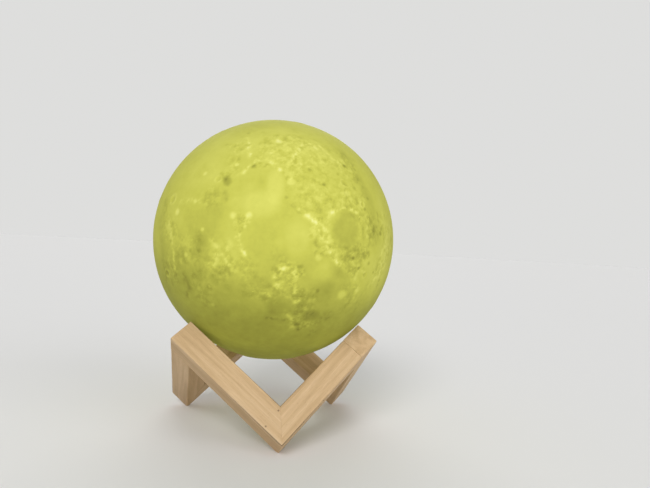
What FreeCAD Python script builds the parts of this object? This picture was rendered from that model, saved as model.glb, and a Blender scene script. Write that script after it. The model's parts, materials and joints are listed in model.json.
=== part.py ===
"""Moon lamp: a printed globe with its light unit, resting on a wooden stand.

The stand is six square battens that follow six edges of a cube standing on its corner.
They form three equal V pieces, each one a long and a short batten mitred together.
The short batten of each V is dowelled to the long batten of the next V.
The globe lies on the three upper ends of the long battens and lifts straight off.

Frame: millimetres, +Z up, origin on the table under the middle of the globe.
The first V faces -Y.
"""

import FreeCAD, Part
import math
import os
import Sketcher

os.makedirs("parts", exist_ok=True)

Vector = FreeCAD.Vector
doc = FreeCAD.newDocument("moon_lamp")

# ---------------------------------------------------------------- driving sizes

SIZES = (
    # stand
    ("frame_edge", 85.0),           # edge of the cube whose edges the battens follow
    ("batten", 15.0),               # side of the square batten
    ("batten_round", 0.7),          # sanded round of the long edges
    ("foot_flat", 1.2),             # height sanded off the three lowest corners
    ("dowel_dia", 6.0),
    ("dowel_in_long", 9.0),         # dowel length inside the long batten
    ("dowel_in_short", 13.0),       # dowel length inside the short batten
    ("dowel_clearance", 0.05),      # round the dowel and past its ends
    # printed globe
    ("globe_dia", 150.0),
    ("shell_wall", 2.0),
    ("seat_gap", 0.25),             # between the globe and each batten end
    ("opening_dia", 40.0),          # round opening at the bottom of the globe
    ("neck_wall", 2.0),             # printed collar round the opening, inside the globe
    ("stop_width", 3.0),
    ("stop_thickness", 2.0),
    ("glue_gap", 0.1),              # light unit in the collar
    ("basin_depth", 0.5),           # lunar plains
    ("crater_depth", 0.8),          # of the widest of the scattered craters
    ("crater_width", 11.0),
    # touch ring
    ("ring_height", 1.8),
    ("ring_width", 4.4),
    ("ring_bevel", 0.5),
    # base plate
    ("plate_recess", 0.4),          # plate above the face of the touch ring
    ("plate_flange", 1.6),
    ("fit_gap", 0.1),               # between moulded pieces that drop into each other
    ("plate_screw_circle_dia", 25.6),
    ("plate_screw_dia", 1.8),
    ("plate_screw_length", 8.0),
    ("screw_head_dia", 3.2),
    ("screw_head_height", 1.0),
    ("recess_span", 1.9),           # cross recess in every screw head
    ("recess_slot", 0.45),
    ("recess_depth", 0.6),
    ("boss_dia", 4.0),
    # housing
    ("housing_wall", 1.8),
    ("housing_roof", 2.0),
    # control board
    ("board_dia", 20.0),
    ("board_thickness", 1.6),
    ("board_screw_circle_dia", 15.0),
    ("post_dia", 3.0),
    ("board_screw_dia", 1.4),
    ("board_screw_length", 6.0),
    ("chip_long", 4.0),
    ("chip_wide", 3.0),
    ("inductor_long", 5.0),
    ("inductor_wide", 4.0),
    ("chip_height", 1.1),
    ("board_headroom", 0.8),        # over the highest part on the board
    # charging socket
    ("socket_offset", 5.2),
    ("socket_dia", 6.0),
    ("socket_bore", 3.7),
    ("socket_depth", 8.5),
    ("socket_pin_dia", 1.2),
    ("socket_pin_recess", 1.0),     # pin's end above the mouth of the socket
    # power switch
    ("button_offset", 5.0),
    ("button_dia", 6.0),
    ("button_clearance", 0.1),
    ("button_proud", 1.3),          # out of the plate when released
    ("button_travel", 1.5),
    ("button_flange", 0.8),
    ("button_flange_width", 0.7),
    ("button_bevel", 0.4),
    ("switch_side", 7.0),
    ("switch_height", 4.5),
    ("switch_roof", 0.6),
    ("plunger_dia", 3.2),
    ("plunger_length", 3.0),
    ("plunger_clearance", 0.1),
    ("spring_wire", 0.2),
    ("spring_dia", 2.6),
    ("spring_turns", 2.5),          # few enough to close up by the button's travel
    # charge light
    ("light_offset", 4.6),
    ("light_dia", 1.8),
    ("light_flange", 0.8),
    ("light_flange_width", 0.5),
    ("light_led_height", 1.6),
    ("light_led_width", 1.2),
    # battery tube
    ("cell_dia", 14.0),
    ("cell_length", 50.0),
    ("cell_nub_dia", 5.5),
    ("cell_nub_height", 1.0),
    ("tab_thickness", 0.3),
    ("tab_width", 3.0),
    ("pad_thickness", 1.4),
    ("pad_margin", 0.5),            # pad's edge inside the edge of the cell
    ("tube_bore", 17.6),
    ("tube_wall", 1.5),
    ("tube_rib", 1.6),              # width of the ribs that centre the cell
    ("tube_flange_thickness", 2.0),
    ("tube_screw_circle_dia", 27.0),
    ("tube_screw_length", 6.0),
    ("lead_dia", 1.2),
    ("lead_circle_dia", 16.0),
    ("touch_lead_level", 7.0),
    ("touch_lead_bend", 1.8),
    # light board
    ("cap_thickness", 2.0),
    ("cap_skirt", 4.0),
    ("cap_wall", 1.2),
    ("led_board_dia", 19.0),
    ("led_board_thickness", 1.6),
    ("led_count", 6.0),
    ("led_circle_dia", 12.5),
    ("led_side", 2.8),
    ("led_height", 0.8),
    ("led_screw_circle_dia", 6.0),
    ("led_screw_length", 3.2),
)

DERIVED = (
    # cube corner q of the globe's centre, where it touches the three batten ends
    ("seat_radius", "globe_dia / 2 + seat_gap"),
    ("seat_sum", "2 * frame_edge + batten"),
    ("seat_squares", "2 * frame_edge ^ 2 + batten ^ 2 - seat_radius ^ 2"),
    ("globe_corner", "(seat_sum + sqrt(seat_sum ^ 2 - 3 * seat_squares)) / 3"),
    ("frame_drop", "(frame_edge - batten) / sqrt(3) + foot_flat"),
    ("globe_level", "globe_corner * sqrt(3) - frame_drop"),
    ("globe_radius", "globe_dia / 2"),
    ("cavity_radius", "globe_radius - shell_wall"),
    ("opening_radius", "opening_dia / 2"),
    ("rim_drop", "sqrt(globe_radius ^ 2 - opening_radius ^ 2)"),
    ("rim_level", "globe_level - rim_drop"),
    ("collar_radius", "opening_radius + neck_wall"),
    ("collar_drop", "sqrt(cavity_radius ^ 2 - collar_radius ^ 2)"),
    ("unit_radius", "opening_radius - glue_gap"),
    ("ring_bore", "unit_radius - ring_width"),
    ("housing_bore", "unit_radius - housing_wall"),
    ("touch_circle_dia", "ring_bore + housing_bore"),
    ("plate_top", "ring_height + plate_flange"),
    ("button_flange_level", "plate_top + fit_gap"),
    ("button_top", "button_flange_level + button_flange"),
    ("switch_level", "button_top + button_travel + fit_gap"),
    ("board_level", "switch_level + switch_height"),
    ("board_top", "board_level + board_thickness"),
    ("roof_underside", "board_top + chip_height + board_headroom"),
    ("neck_depth", "roof_underside + housing_roof"),
    ("plunger_top", "button_top + plunger_length"),
    ("switch_bore_top", "board_level - switch_roof"),
    ("cell_level", "neck_depth + tab_thickness"),
    ("cell_top", "cell_level + cell_length"),
    ("tube_radius", "tube_bore / 2 + tube_wall"),
    ("tube_top", "cell_top + tab_thickness + pad_thickness"),
    ("cap_top", "tube_top + cap_thickness"),
    ("led_board_top", "cap_top + led_board_thickness"),
)

sizes = doc.addObject("Spreadsheet::Sheet", "Sizes")
for row, (alias, value) in enumerate(SIZES, start=1):
    sizes.set(f"A{row}", alias)
    sizes.set(f"B{row}", str(value))
    sizes.setAlias(f"B{row}", alias)
doc.recompute()

derived = doc.addObject("Spreadsheet::Sheet", "Derived")
size_names = {alias for alias, value in SIZES}
derived_names = {alias for alias, formula in DERIVED}


def tied(text, own_sheet=None):
    """Expression text with each named size turned into a reference to its sheet."""
    words = text.split(" ")
    for place, word in enumerate(words):
        bare = word.lstrip("(-").replace("sqrt(", "").rstrip("),")
        if bare in size_names:
            words[place] = word.replace(bare, f"Sizes.{bare}")
        elif bare in derived_names and own_sheet is None:
            words[place] = word.replace(bare, f"Derived.{bare}")
    return " ".join(words)


for row, (alias, formula) in enumerate(DERIVED, start=1):
    derived.set(f"A{row}", alias)
    derived.set(f"B{row}", "=" + tied(formula, own_sheet=derived))
    derived.setAlias(f"B{row}", alias)
    derived.recompute()
doc.recompute()


def size(alias):
    """Present value of a named size."""
    sheet = sizes if alias in size_names else derived
    return float(sheet.get(alias))


# ---------------------------------------------------------------- sketch helpers

def origin_feature(body, role):
    for feature in body.Origin.OriginFeatures:
        if feature.Role == role:
            return feature
    raise ValueError(f"{body.Name} has no {role}")


def new_body(label):
    body = doc.addObject("PartDesign::Body", label)
    body.Label = label
    return body


def new_sketch(body, name, plane="XY_Plane", level=None):
    """Sketch on an origin plane of its body, raised along the plane's normal."""
    sketch = body.newObject("Sketcher::SketchObject", f"{body.Name}_{name}")
    sketch.AttachmentSupport = [(origin_feature(body, plane), "")]
    sketch.MapMode = "FlatFace"
    if level:
        sketch.setExpression("AttachmentOffset.Base.z", tied(level))
    return sketch


def hold_point(sketch, curve, end, x_text, y_text):
    """Ties one end of a curve to its coordinates; an axis takes the place of a zero."""
    for axis, line, text in (("X", -2, x_text), ("Y", -1, y_text)):
        if text == "0":
            sketch.addConstraint(Sketcher.Constraint("PointOnObject", curve, end, line))
            continue
        name = f"{axis.lower()}_{curve}_{end}"
        index = sketch.addConstraint(
            Sketcher.Constraint(f"Distance{axis}", -1, 1, curve, end, 1.0)
        )
        sketch.renameConstraint(index, name)
        sketch.setExpression(f"Constraints.{name}", tied(text))


def add_polygon(sketch, corners):
    """Closed outline through corners given as pairs of expressions."""
    first = sketch.GeometryCount
    count = len(corners)
    turn = 2 * math.pi / count
    seeds = [Vector(math.cos(i * turn), math.sin(i * turn), 0) for i in range(count)]
    for i in range(count):
        sketch.addGeometry(Part.LineSegment(seeds[i], seeds[(i + 1) % count]), False)
    for i in range(count):
        following = first + (i + 1) % count
        sketch.addConstraint(Sketcher.Constraint("Coincident", first + i, 2, following, 1))
    for i, (x_text, y_text) in enumerate(corners):
        hold_point(sketch, first + i, 1, x_text, y_text)


def add_rectangle(sketch, x_text, y_text, width, depth):
    """Rectangle about a centre."""
    left = f"{x_text} - {width} / 2"
    right = f"{x_text} + {width} / 2"
    near = f"{y_text} - {depth} / 2"
    far = f"{y_text} + {depth} / 2"
    add_polygon(sketch, [(left, near), (right, near), (right, far), (left, far)])


def add_circle(sketch, radius_text, x_text="0", y_text="0"):
    curve = sketch.addGeometry(Part.Circle(Vector(0, 0, 0), Vector(0, 0, 1), 1.0), False)
    hold_point(sketch, curve, 3, x_text, y_text)
    name = f"r_{curve}"
    index = sketch.addConstraint(Sketcher.Constraint("Radius", curve, 1.0))
    sketch.renameConstraint(index, name)
    sketch.setExpression(f"Constraints.{name}", tied(radius_text))


def polar(circle_text, angle):
    """Pair of expressions for a point on a circle of the given diameter."""
    cosine = round(math.cos(math.radians(angle)), 6)
    sine = round(math.sin(math.radians(angle)), 6)
    x_text = f"{circle_text} / 2 * {cosine}" if cosine else "0"
    y_text = f"{circle_text} / 2 * {sine}" if sine else "0"
    return x_text, y_text


def places_round(circle_text, first_angle, count):
    """Points evenly round a circle of the given diameter."""
    return [polar(circle_text, first_angle + 360 / count * number) for number in range(count)]


# ---------------------------------------------------------------- feature helpers

def add_pad(body, name, sketch, length_text, downward=False):
    pad = body.newObject("PartDesign::Pad", f"{body.Name}_{name}")
    pad.Profile = sketch
    pad.setExpression("Length", tied(length_text))
    pad.Reversed = downward
    return pad


def add_turned(body, name, corners, x_text="0"):
    """Solid of revolution; its corners are given from the turning axis."""
    sketch = new_sketch(body, f"{name}_section", "XZ_Plane")
    if x_text == "0":
        axis = "V_Axis"
        add_polygon(sketch, corners)
    else:
        axis = "Axis0"
        line = sketch.addGeometry(Part.LineSegment(Vector(1, 0, 0), Vector(1, 1, 0)), True)
        hold_point(sketch, line, 1, x_text, "0")
        hold_point(sketch, line, 2, x_text, "1")
        add_polygon(sketch, [(f"{x_text} + {r_text}", z_text) for r_text, z_text in corners])
    turned = body.newObject("PartDesign::Revolution", f"{body.Name}_{name}")
    turned.Profile = sketch
    turned.ReferenceAxis = (sketch, [axis])
    turned.Angle = 360
    return turned


def add_pocket(body, name, sketch, length_text, upward=False):
    pocket = body.newObject("PartDesign::Pocket", f"{body.Name}_{name}")
    pocket.Profile = sketch
    pocket.setExpression("Length", tied(length_text))
    pocket.Reversed = upward
    return pocket


def add_ring_of(body, features, count):
    """Repeats features evenly about the vertical axis of their body."""
    doc.recompute()
    pattern = body.newObject("PartDesign::PolarPattern", f"{body.Name}_ring")
    pattern.Originals = features
    pattern.Axis = (origin_feature(body, "Z_Axis"), [""])
    pattern.Angle = 360
    pattern.Occurrences = count
    body.Tip = pattern
    return pattern


def edges_of(feature, chosen):
    """Names of the feature's edges that pass a test."""
    doc.recompute()
    return [
        f"Edge{number}"
        for number, edge in enumerate(feature.Shape.Edges, start=1)
        if chosen(edge)
    ]


def add_chamfer(body, feature, size_text, chosen):
    chamfer = body.newObject("PartDesign::Chamfer", f"{body.Name}_chamfer")
    chamfer.Base = (feature, edges_of(feature, chosen))
    chamfer.setExpression("Size", tied(size_text))
    return chamfer


def add_fillet(body, feature, radius_text, chosen):
    fillet = body.newObject("PartDesign::Fillet", f"{body.Name}_fillet")
    fillet.Base = (feature, edges_of(feature, chosen))
    fillet.setExpression("Radius", tied(radius_text))
    return fillet


def stand_at(body, level_text, turn=0.0):
    """Puts a body's origin on the lamp's axis at a level, turned about that axis."""
    body.Placement = FreeCAD.Placement(Vector(0, 0, 0), FreeCAD.Rotation(Vector(0, 0, 1), turn))
    body.setExpression("Placement.Base.z", tied(level_text))
    return body


nodes = {}


def keep(feature, label):
    """Marks a finished sub-part."""
    feature.Label = label
    nodes[label] = feature
    return feature


# ---------------------------------------------------------------- stand

SIDES = ("front", "right", "left")
LONG = "long_batten"
SHORT = "short_batten"
FIRST_ANGLE = -90.0
SIDE_TURN = 120.0


def cube_edge_direction(side):
    """Direction of one of the three cube edges that rise from the cube's lowest corner."""
    angle = math.radians(FIRST_ANGLE + SIDE_TURN * (side % 3))
    reach = math.sqrt(2 / 3)
    return Vector(reach * math.cos(angle), reach * math.sin(angle), 1 / math.sqrt(3))


def v_placement(side):
    """Short batten along X, long batten along Y, outside of the lamp along Z."""
    turn = FreeCAD.Rotation(
        cube_edge_direction(side + 1),
        cube_edge_direction(side + 2),
        cube_edge_direction(side),
        "ZXY",
    )
    return FreeCAD.Placement(Vector(0, 0, 0), turn)


def along(direction):
    """Test for straight edges that run along a direction."""
    def chosen(edge):
        ends = edge.Vertexes
        if len(ends) < 2:
            return False
        run = ends[1].Point.sub(ends[0].Point)
        return abs(abs(run.dot(direction)) - run.Length) < 1e-6
    return chosen


table_top = doc.addObject("Part::Box", "table_top")
table_top.setExpression("Length", tied("4 * frame_edge"))
table_top.setExpression("Width", tied("4 * frame_edge"))
table_top.setExpression("Height", tied("batten"))
table_top.setExpression("Placement.Base.x", tied("-2 * frame_edge"))
table_top.setExpression("Placement.Base.y", tied("-2 * frame_edge"))
table_top.setExpression("Placement.Base.z", tied("-batten"))


def batten(side, kind, corners, direction):
    """One batten of a V, mitred at the foot, with the dowel hole near its other end."""
    body = new_body(f"{SIDES[side]}_{kind}_blank")
    outline = new_sketch(body, "outline", level="frame_edge - batten")
    add_polygon(outline, corners)
    blank = add_pad(body, "blank", outline, "batten")
    rounded = add_fillet(body, blank, "batten_round", along(direction))
    doc.recompute()
    if kind == LONG:
        plane, depth, inward = "XY_Plane", "dowel_in_long + dowel_clearance", True
    else:
        plane, depth, inward = "YZ_Plane", "dowel_in_short + dowel_clearance", False
    drilling = new_sketch(body, "drilling", plane, level="frame_edge - batten")
    middle = "batten / 2"
    upper_end = "frame_edge - batten / 2"
    add_circle(drilling, "dowel_dia / 2 + dowel_clearance", middle, upper_end)
    hole = add_pocket(body, "hole", drilling, depth, inward)
    doc.recompute()
    if hole.Shape.Volume > rounded.Shape.Volume - 1.0:
        raise ValueError(f"{body.Name} has no dowel hole")
    body.Placement = v_placement(side)
    body.setExpression("Placement.Base.z", tied("-frame_drop"))
    cut = doc.addObject("Part::Cut", f"{SIDES[side]}_{kind}")
    cut.Base = body
    cut.Tool = table_top
    return keep(cut, f"{SIDES[side]}_{kind}")


def v_piece(side):
    batten(
        side,
        LONG,
        [("0", "0"), ("batten", "batten"), ("batten", "frame_edge"), ("0", "frame_edge")],
        Vector(0, 1, 0),
    )
    batten(
        side,
        SHORT,
        [
            ("0", "0"),
            ("frame_edge - batten", "0"),
            ("frame_edge - batten", "batten"),
            ("batten", "batten"),
        ],
        Vector(1, 0, 0),
    )


def joint_dowels():
    """The dowel of each upper joint, lying along the short batten's middle line."""
    dowels = []
    for side in range(3):
        dowel = doc.addObject("Part::Cylinder", f"{SIDES[side]}_dowel")
        dowel.setExpression("Radius", tied("dowel_dia / 2"))
        dowel.setExpression("Height", tied("dowel_in_long + dowel_in_short"))
        run = cube_edge_direction(side + 1)
        up = cube_edge_direction(side + 2)
        out = cube_edge_direction(side)
        dowel.Placement = FreeCAD.Placement(
            Vector(0, 0, 0), FreeCAD.Rotation(Vector(0, 0, 1), run)
        )
        for axis in "xyz":
            terms = [
                f"{getattr(run, axis):.9f} * (frame_edge - batten - dowel_in_short)",
                f"{getattr(up, axis):.9f} * batten / 2",
                f"{getattr(out, axis):.9f} * (frame_edge - batten / 2)",
            ]
            text = " + ".join(terms)
            if axis == "z":
                text = text + " - frame_drop"
            dowel.setExpression(f"Placement.Base.{axis}", tied(text))
        dowels.append(dowel)
    group = doc.addObject("Part::Compound", "joint_dowels")
    group.Links = dowels
    return keep(group, "joint_dowels")


# ---------------------------------------------------------------- globe

def smooth_shell():
    """Thin sphere with a round opening below and the collar that holds the light unit."""
    body = new_body("smooth_shell")
    section = new_sketch(body, "section", "XZ_Plane")
    outer = size("globe_radius")
    inner = size("cavity_radius")
    opening = size("opening_radius")
    collar = size("collar_radius")
    rim = -size("rim_drop")
    stop = rim + size("neck_depth")
    stop_top = stop + size("stop_thickness")
    bore = opening - size("stop_width")
    foot = -size("collar_drop")
    centre = Vector(0, 0, 0)
    normal = Vector(0, 0, 1)
    outer_start = math.atan2(rim, opening)
    inner_start = math.atan2(foot, collar)
    quarter = math.pi / 2
    section.addGeometry(Part.ArcOfCircle(Part.Circle(centre, normal, outer), outer_start, quarter))
    section.addGeometry(Part.ArcOfCircle(Part.Circle(centre, normal, inner), inner_start, quarter))
    path = [
        (0.0, inner), (0.0, outer), (opening, rim), (opening, stop),
        (bore, stop), (bore, stop_top), (collar, stop_top), (collar, foot),
    ]
    lines = ((0, 1), (2, 3), (3, 4), (4, 5), (5, 6), (6, 7))
    for start, end in lines:
        section.addGeometry(
            Part.LineSegment(Vector(*path[start], 0), Vector(*path[end], 0)), False
        )
    pole, wall, ledge_under, ledge_face, ledge_over, collar_side = range(2, 8)
    outer_arc = 0
    inner_arc = 1
    join = (
        (inner_arc, 2, pole, 1), (pole, 2, outer_arc, 2), (outer_arc, 1, wall, 1),
        (wall, 2, ledge_under, 1), (ledge_under, 2, ledge_face, 1),
        (ledge_face, 2, ledge_over, 1), (ledge_over, 2, collar_side, 1),
        (collar_side, 2, inner_arc, 1),
    )
    for link in join:
        section.addConstraint(Sketcher.Constraint("Coincident", *link))
    for arc, radius_text in ((outer_arc, "globe_radius"), (inner_arc, "cavity_radius")):
        section.addConstraint(Sketcher.Constraint("Coincident", arc, 3, -1, 1))
        index = section.addConstraint(Sketcher.Constraint("Radius", arc, size(radius_text)))
        section.renameConstraint(index, f"r_{arc}")
        section.setExpression(f"Constraints.r_{arc}", tied(radius_text))
        section.addConstraint(Sketcher.Constraint("PointOnObject", arc, 2, -2))
    for line in (wall, ledge_face, collar_side):
        section.addConstraint(Sketcher.Constraint("Vertical", line))
    for line in (ledge_under, ledge_over):
        section.addConstraint(Sketcher.Constraint("Horizontal", line))
    held = (
        ("DistanceX", wall, 1, opening, "opening_radius"),
        ("DistanceX", ledge_face, 1, bore, "opening_radius - stop_width"),
        ("DistanceX", collar_side, 1, collar, "collar_radius"),
        ("DistanceY", wall, 2, stop, "neck_depth - rim_drop"),
        ("DistanceY", ledge_face, 2, stop_top, "neck_depth + stop_thickness - rim_drop"),
    )
    for number, (kind, line, end, value, text) in enumerate(held):
        index = section.addConstraint(Sketcher.Constraint(kind, -1, 1, line, end, value))
        section.renameConstraint(index, f"held_{number}")
        section.setExpression(f"Constraints.held_{number}", tied(text))
    shell = body.newObject("PartDesign::Revolution", "smooth_shell_turned")
    shell.Profile = section
    shell.ReferenceAxis = (section, ["V_Axis"])
    shell.Angle = 360
    doc.recompute()
    return shell.Shape.copy()


# lunar plains that show on the front: longitude, latitude and radius in degrees
BASINS = (
    (22, 6, 7.5),
    (-10, 0, 9.5),
    (2, -1, 7.0),
    (-16, 24, 7.0),
    (-12, 14, 5.5),
    (13, -12, 7.0),
    (-4, -27, 6.5),
    (-42, 4, 8.0),
    (-46, 26, 10.0),
    (-24, -22, 7.0),
    (50, 24, 10.0),
    (12, -33, 4.5),
)
CRATER_COUNT = 48
CRATER_SIZES = (1.0, 0.5, 0.75, 0.4, 0.6)       # shares of the widest
LOWEST_CRATER = -0.82                           # height on a globe of radius one
GOLDEN_TURN = math.pi * (3 - math.sqrt(5))


def on_globe(longitude, latitude):
    """Direction of a place on the globe; longitude 0 faces the front."""
    lon = math.radians(longitude)
    lat = math.radians(latitude)
    return Vector(math.sin(lon) * math.cos(lat), -math.cos(lon) * math.cos(lat), math.sin(lat))


def plain(direction, reach):
    """Cone from the globe's middle that cuts a round plain, above the plain's floor."""
    height = 2 * size("globe_radius")
    width = height * math.tan(math.radians(reach))
    cone = Part.makeCone(0, width, height, Vector(0, 0, 0), direction)
    return cone.cut(Part.makeSphere(size("globe_radius") - size("basin_depth")))


def crater(direction, width, depth):
    """Ball that cuts a round bowl of a width and depth out of the globe."""
    radius = ((width / 2) ** 2 + depth ** 2) / (2 * depth)
    flat = math.sqrt(size("globe_radius") ** 2 - (width / 2) ** 2)
    centre = Vector(direction).multiply(flat - depth + radius)
    return Part.makeSphere(radius, centre)


def carved_globe():
    """The shell with its plains and craters sunk into the outside."""
    cuts = [plain(on_globe(longitude, latitude), reach) for longitude, latitude, reach in BASINS]
    for number in range(CRATER_COUNT):
        height = 1 - (1 - LOWEST_CRATER) * (number + 0.5) / CRATER_COUNT
        spread = math.sqrt(1 - height ** 2)
        turn = GOLDEN_TURN * number
        direction = Vector(spread * math.cos(turn), spread * math.sin(turn), height)
        share = CRATER_SIZES[number % len(CRATER_SIZES)]
        width = size("crater_width") * share
        cuts.append(crater(direction, width, size("crater_depth") * share))
    globe = doc.addObject("Part::Feature", "moon_shell")
    globe.Shape = smooth_shell().cut(cuts)
    globe.Placement = FreeCAD.Placement(Vector(0, 0, size("globe_level")), FreeCAD.Rotation())
    return keep(globe, "moon_shell")


# ---------------------------------------------------------------- light unit, outside

SCREW_COUNT = 3
PLATE_SCREW_ANGLE = 90.0
TUBE_SCREW_ANGLE = 30.0
BOARD_SCREW_ANGLES = (60.0, 240.0)
LED_SCREW_COUNT = 2
LED_SCREW_ANGLE = 90.0
LED_TURN = 30.0
TOUCH_ANGLE = 150.0
RIB_COUNT = 3
WIRE_SIDES = 6


def touch_ring():
    body = new_body("touch_ring")
    ring = add_turned(
        body,
        "ring",
        [
            ("ring_bore", "0"),
            ("unit_radius", "0"),
            ("unit_radius", "ring_height"),
            ("ring_bore", "ring_height"),
        ],
    )
    add_chamfer(
        body,
        ring,
        "ring_bevel",
        lambda edge: edge.BoundBox.ZMax < 1e-6 and len(edge.Vertexes) == 1,
    )
    stand_at(body, "rim_level")
    return keep(body, "touch_ring")


def plate_holes(sketch, screw_radius):
    """The openings that run right through the base plate."""
    add_circle(sketch, "button_dia / 2 + button_clearance", "button_offset", "0")
    add_circle(sketch, "socket_dia / 2 + fit_gap", "-socket_offset", "0")
    add_circle(sketch, "light_dia / 2 + fit_gap", "0", "-light_offset")
    for place in places_round("plate_screw_circle_dia", PLATE_SCREW_ANGLE, SCREW_COUNT):
        add_circle(sketch, screw_radius, *place)


def base_plate():
    """Round plate behind the touch ring, with two posts for the control board."""
    body = new_body("base_plate")
    face = new_sketch(body, "face", level="plate_recess")
    add_circle(face, "ring_bore - fit_gap")
    plate_holes(face, "screw_head_dia / 2 + fit_gap")
    add_pad(body, "face_disc", face, "ring_height - plate_recess")
    flange = new_sketch(body, "flange", level="ring_height")
    add_circle(flange, "housing_bore - fit_gap")
    plate_holes(flange, "plate_screw_dia / 2 + fit_gap")
    add_circle(flange, "lead_dia / 2 + fit_gap", *polar("touch_circle_dia", TOUCH_ANGLE))
    add_pad(body, "flange_disc", flange, "plate_flange")
    posts = new_sketch(body, "posts", level="plate_top")
    for angle in BOARD_SCREW_ANGLES:
        place = polar("board_screw_circle_dia", angle)
        add_circle(posts, "post_dia / 2", *place)
        add_circle(posts, "board_screw_dia / 2 + fit_gap / 2", *place)
    add_pad(body, "post_pair", posts, "board_level - plate_top")
    stand_at(body, "rim_level")
    return keep(body, "base_plate")


def add_cross(sketch, x_text):
    """Outline of a cross recess about a point on the sketch's X axis."""
    arm = "recess_span / 2"
    slot = "recess_slot / 2"
    outline = (
        (f"+ {slot}", f"-{arm}"), (f"+ {slot}", f"-{slot}"), (f"+ {arm}", f"-{slot}"),
        (f"+ {arm}", slot), (f"+ {slot}", slot), (f"+ {slot}", arm),
        (f"- {slot}", arm), (f"- {slot}", slot), (f"- {arm}", slot),
        (f"- {arm}", f"-{slot}"), (f"- {slot}", f"-{slot}"), (f"- {slot}", f"-{arm}"),
    )
    add_polygon(sketch, [(f"{x_text} {x_shift}", y_text) for x_shift, y_text in outline])


def screw_section(head_height, shank_length, head_dia, shank_dia):
    """Half section of a pan head screw whose head lies at the bottom."""
    return [
        ("0", "0"),
        (f"{head_dia} / 2", "0"),
        (f"{head_dia} / 2", head_height),
        (f"{shank_dia} / 2", head_height),
        (f"{shank_dia} / 2", f"{head_height} + {shank_length}"),
        ("0", f"{head_height} + {shank_length}"),
    ]


def ring_of_screws(label, circle_text, count, turn, level_text, section, head_up=False):
    """Equal screws about the lamp's axis, heads below or above."""
    body = new_body(label)
    if head_up:
        section = [(r_text, f"-({z_text})") for r_text, z_text in section]
    screw = add_turned(body, "screw", section, f"{circle_text} / 2")
    cross = new_sketch(body, "cross")
    add_cross(cross, f"{circle_text} / 2")
    recess = add_pocket(body, "recess", cross, "recess_depth", upward=not head_up)
    add_ring_of(body, [screw, recess], count)
    stand_at(body, level_text, turn)
    return keep(body, label)


def base_housing():
    """Cup that closes over the board: side wall, roof and the screw bosses."""
    body = new_body("base_housing")
    wall = new_sketch(body, "wall", level="ring_height")
    add_circle(wall, "unit_radius")
    add_circle(wall, "housing_bore")
    add_pad(body, "side_wall", wall, "roof_underside - ring_height")
    roof = new_sketch(body, "roof", level="roof_underside")
    add_circle(roof, "unit_radius")
    for place in places_round("tube_screw_circle_dia", TUBE_SCREW_ANGLE, SCREW_COUNT):
        add_circle(roof, "plate_screw_dia / 2 + fit_gap / 2", *place)
    add_lead_holes(roof)
    slot = ("(tab_width + 2 * fit_gap)", "(tab_thickness + 2 * fit_gap)")
    add_rectangle(roof, "0", "0", *slot)
    add_rectangle(roof, "0", "lead_circle_dia / 2", *slot)
    add_pad(body, "roof_disc", roof, "housing_roof")
    bosses = new_sketch(body, "bosses", level="plate_top")
    for place in places_round("plate_screw_circle_dia", PLATE_SCREW_ANGLE, SCREW_COUNT):
        add_circle(bosses, "boss_dia / 2", *place)
        add_circle(bosses, "plate_screw_dia / 2 + fit_gap / 2", *place)
    add_pad(body, "plate_bosses", bosses, "roof_underside - plate_top")
    stand_at(body, "rim_level")
    return keep(body, "base_housing")


def add_lead_holes(sketch):
    """Holes for the two supply leads."""
    for side in (-1, 1):
        add_circle(sketch, "lead_dia / 2 + fit_gap", f"{side} * lead_circle_dia / 2", "0")


# ---------------------------------------------------------------- light unit, inside

def control_board():
    body = new_body("control_board")
    outline = new_sketch(body, "outline", level="board_level")
    add_circle(outline, "board_dia / 2")
    for angle in BOARD_SCREW_ANGLES:
        place = polar("board_screw_circle_dia", angle)
        add_circle(outline, "board_screw_dia / 2 + fit_gap", *place)
    add_pad(body, "board", outline, "board_thickness")
    stand_at(body, "rim_level")
    return keep(body, "control_board")


# place as shares of the board's diameter, length, width
BOARD_PARTS = (
    (-0.22, 0.16, "chip_long", "chip_wide"),
    (0.21, 0.02, "inductor_long", "inductor_wide"),
    (0.18, -0.25, "chip_long", "chip_wide"),
)


def board_chips():
    """Charging chip, inductor and control chip, soldered on the board's top."""
    body = new_body("board_chips")
    outline = new_sketch(body, "outline", level="board_top")
    for x_share, y_share, length, width in BOARD_PARTS:
        add_rectangle(
            outline, f"{x_share} * board_dia", f"{y_share} * board_dia", length, width
        )
    add_pad(body, "chips", outline, "chip_height")
    stand_at(body, "rim_level")
    return keep(body, "board_chips")


def charging_socket():
    """Round socket for a barrel plug, entered from below."""
    body = new_body("charging_socket")
    add_turned(
        body,
        "sleeve",
        [
            ("socket_bore / 2", "plate_recess"),
            ("socket_dia / 2", "plate_recess"),
            ("socket_dia / 2", "board_level"),
            ("0", "board_level"),
            ("0", "socket_depth + plate_recess"),
            ("socket_bore / 2", "socket_depth + plate_recess"),
        ],
    )
    stand_at(body, "rim_level")
    body.setExpression("Placement.Base.x", tied("-socket_offset"))
    return keep(body, "charging_socket")


def socket_pin():
    body = new_body("socket_pin")
    add_turned(
        body,
        "pin",
        [
            ("0", "plate_recess + socket_pin_recess"),
            ("socket_pin_dia / 2", "plate_recess + socket_pin_recess"),
            ("socket_pin_dia / 2", "socket_depth + plate_recess"),
            ("0", "socket_depth + plate_recess"),
        ],
    )
    stand_at(body, "rim_level")
    body.setExpression("Placement.Base.x", tied("-socket_offset"))
    return keep(body, "socket_pin")


def at_button(body):
    stand_at(body, "rim_level")
    body.setExpression("Placement.Base.x", tied("button_offset"))
    return body


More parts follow.
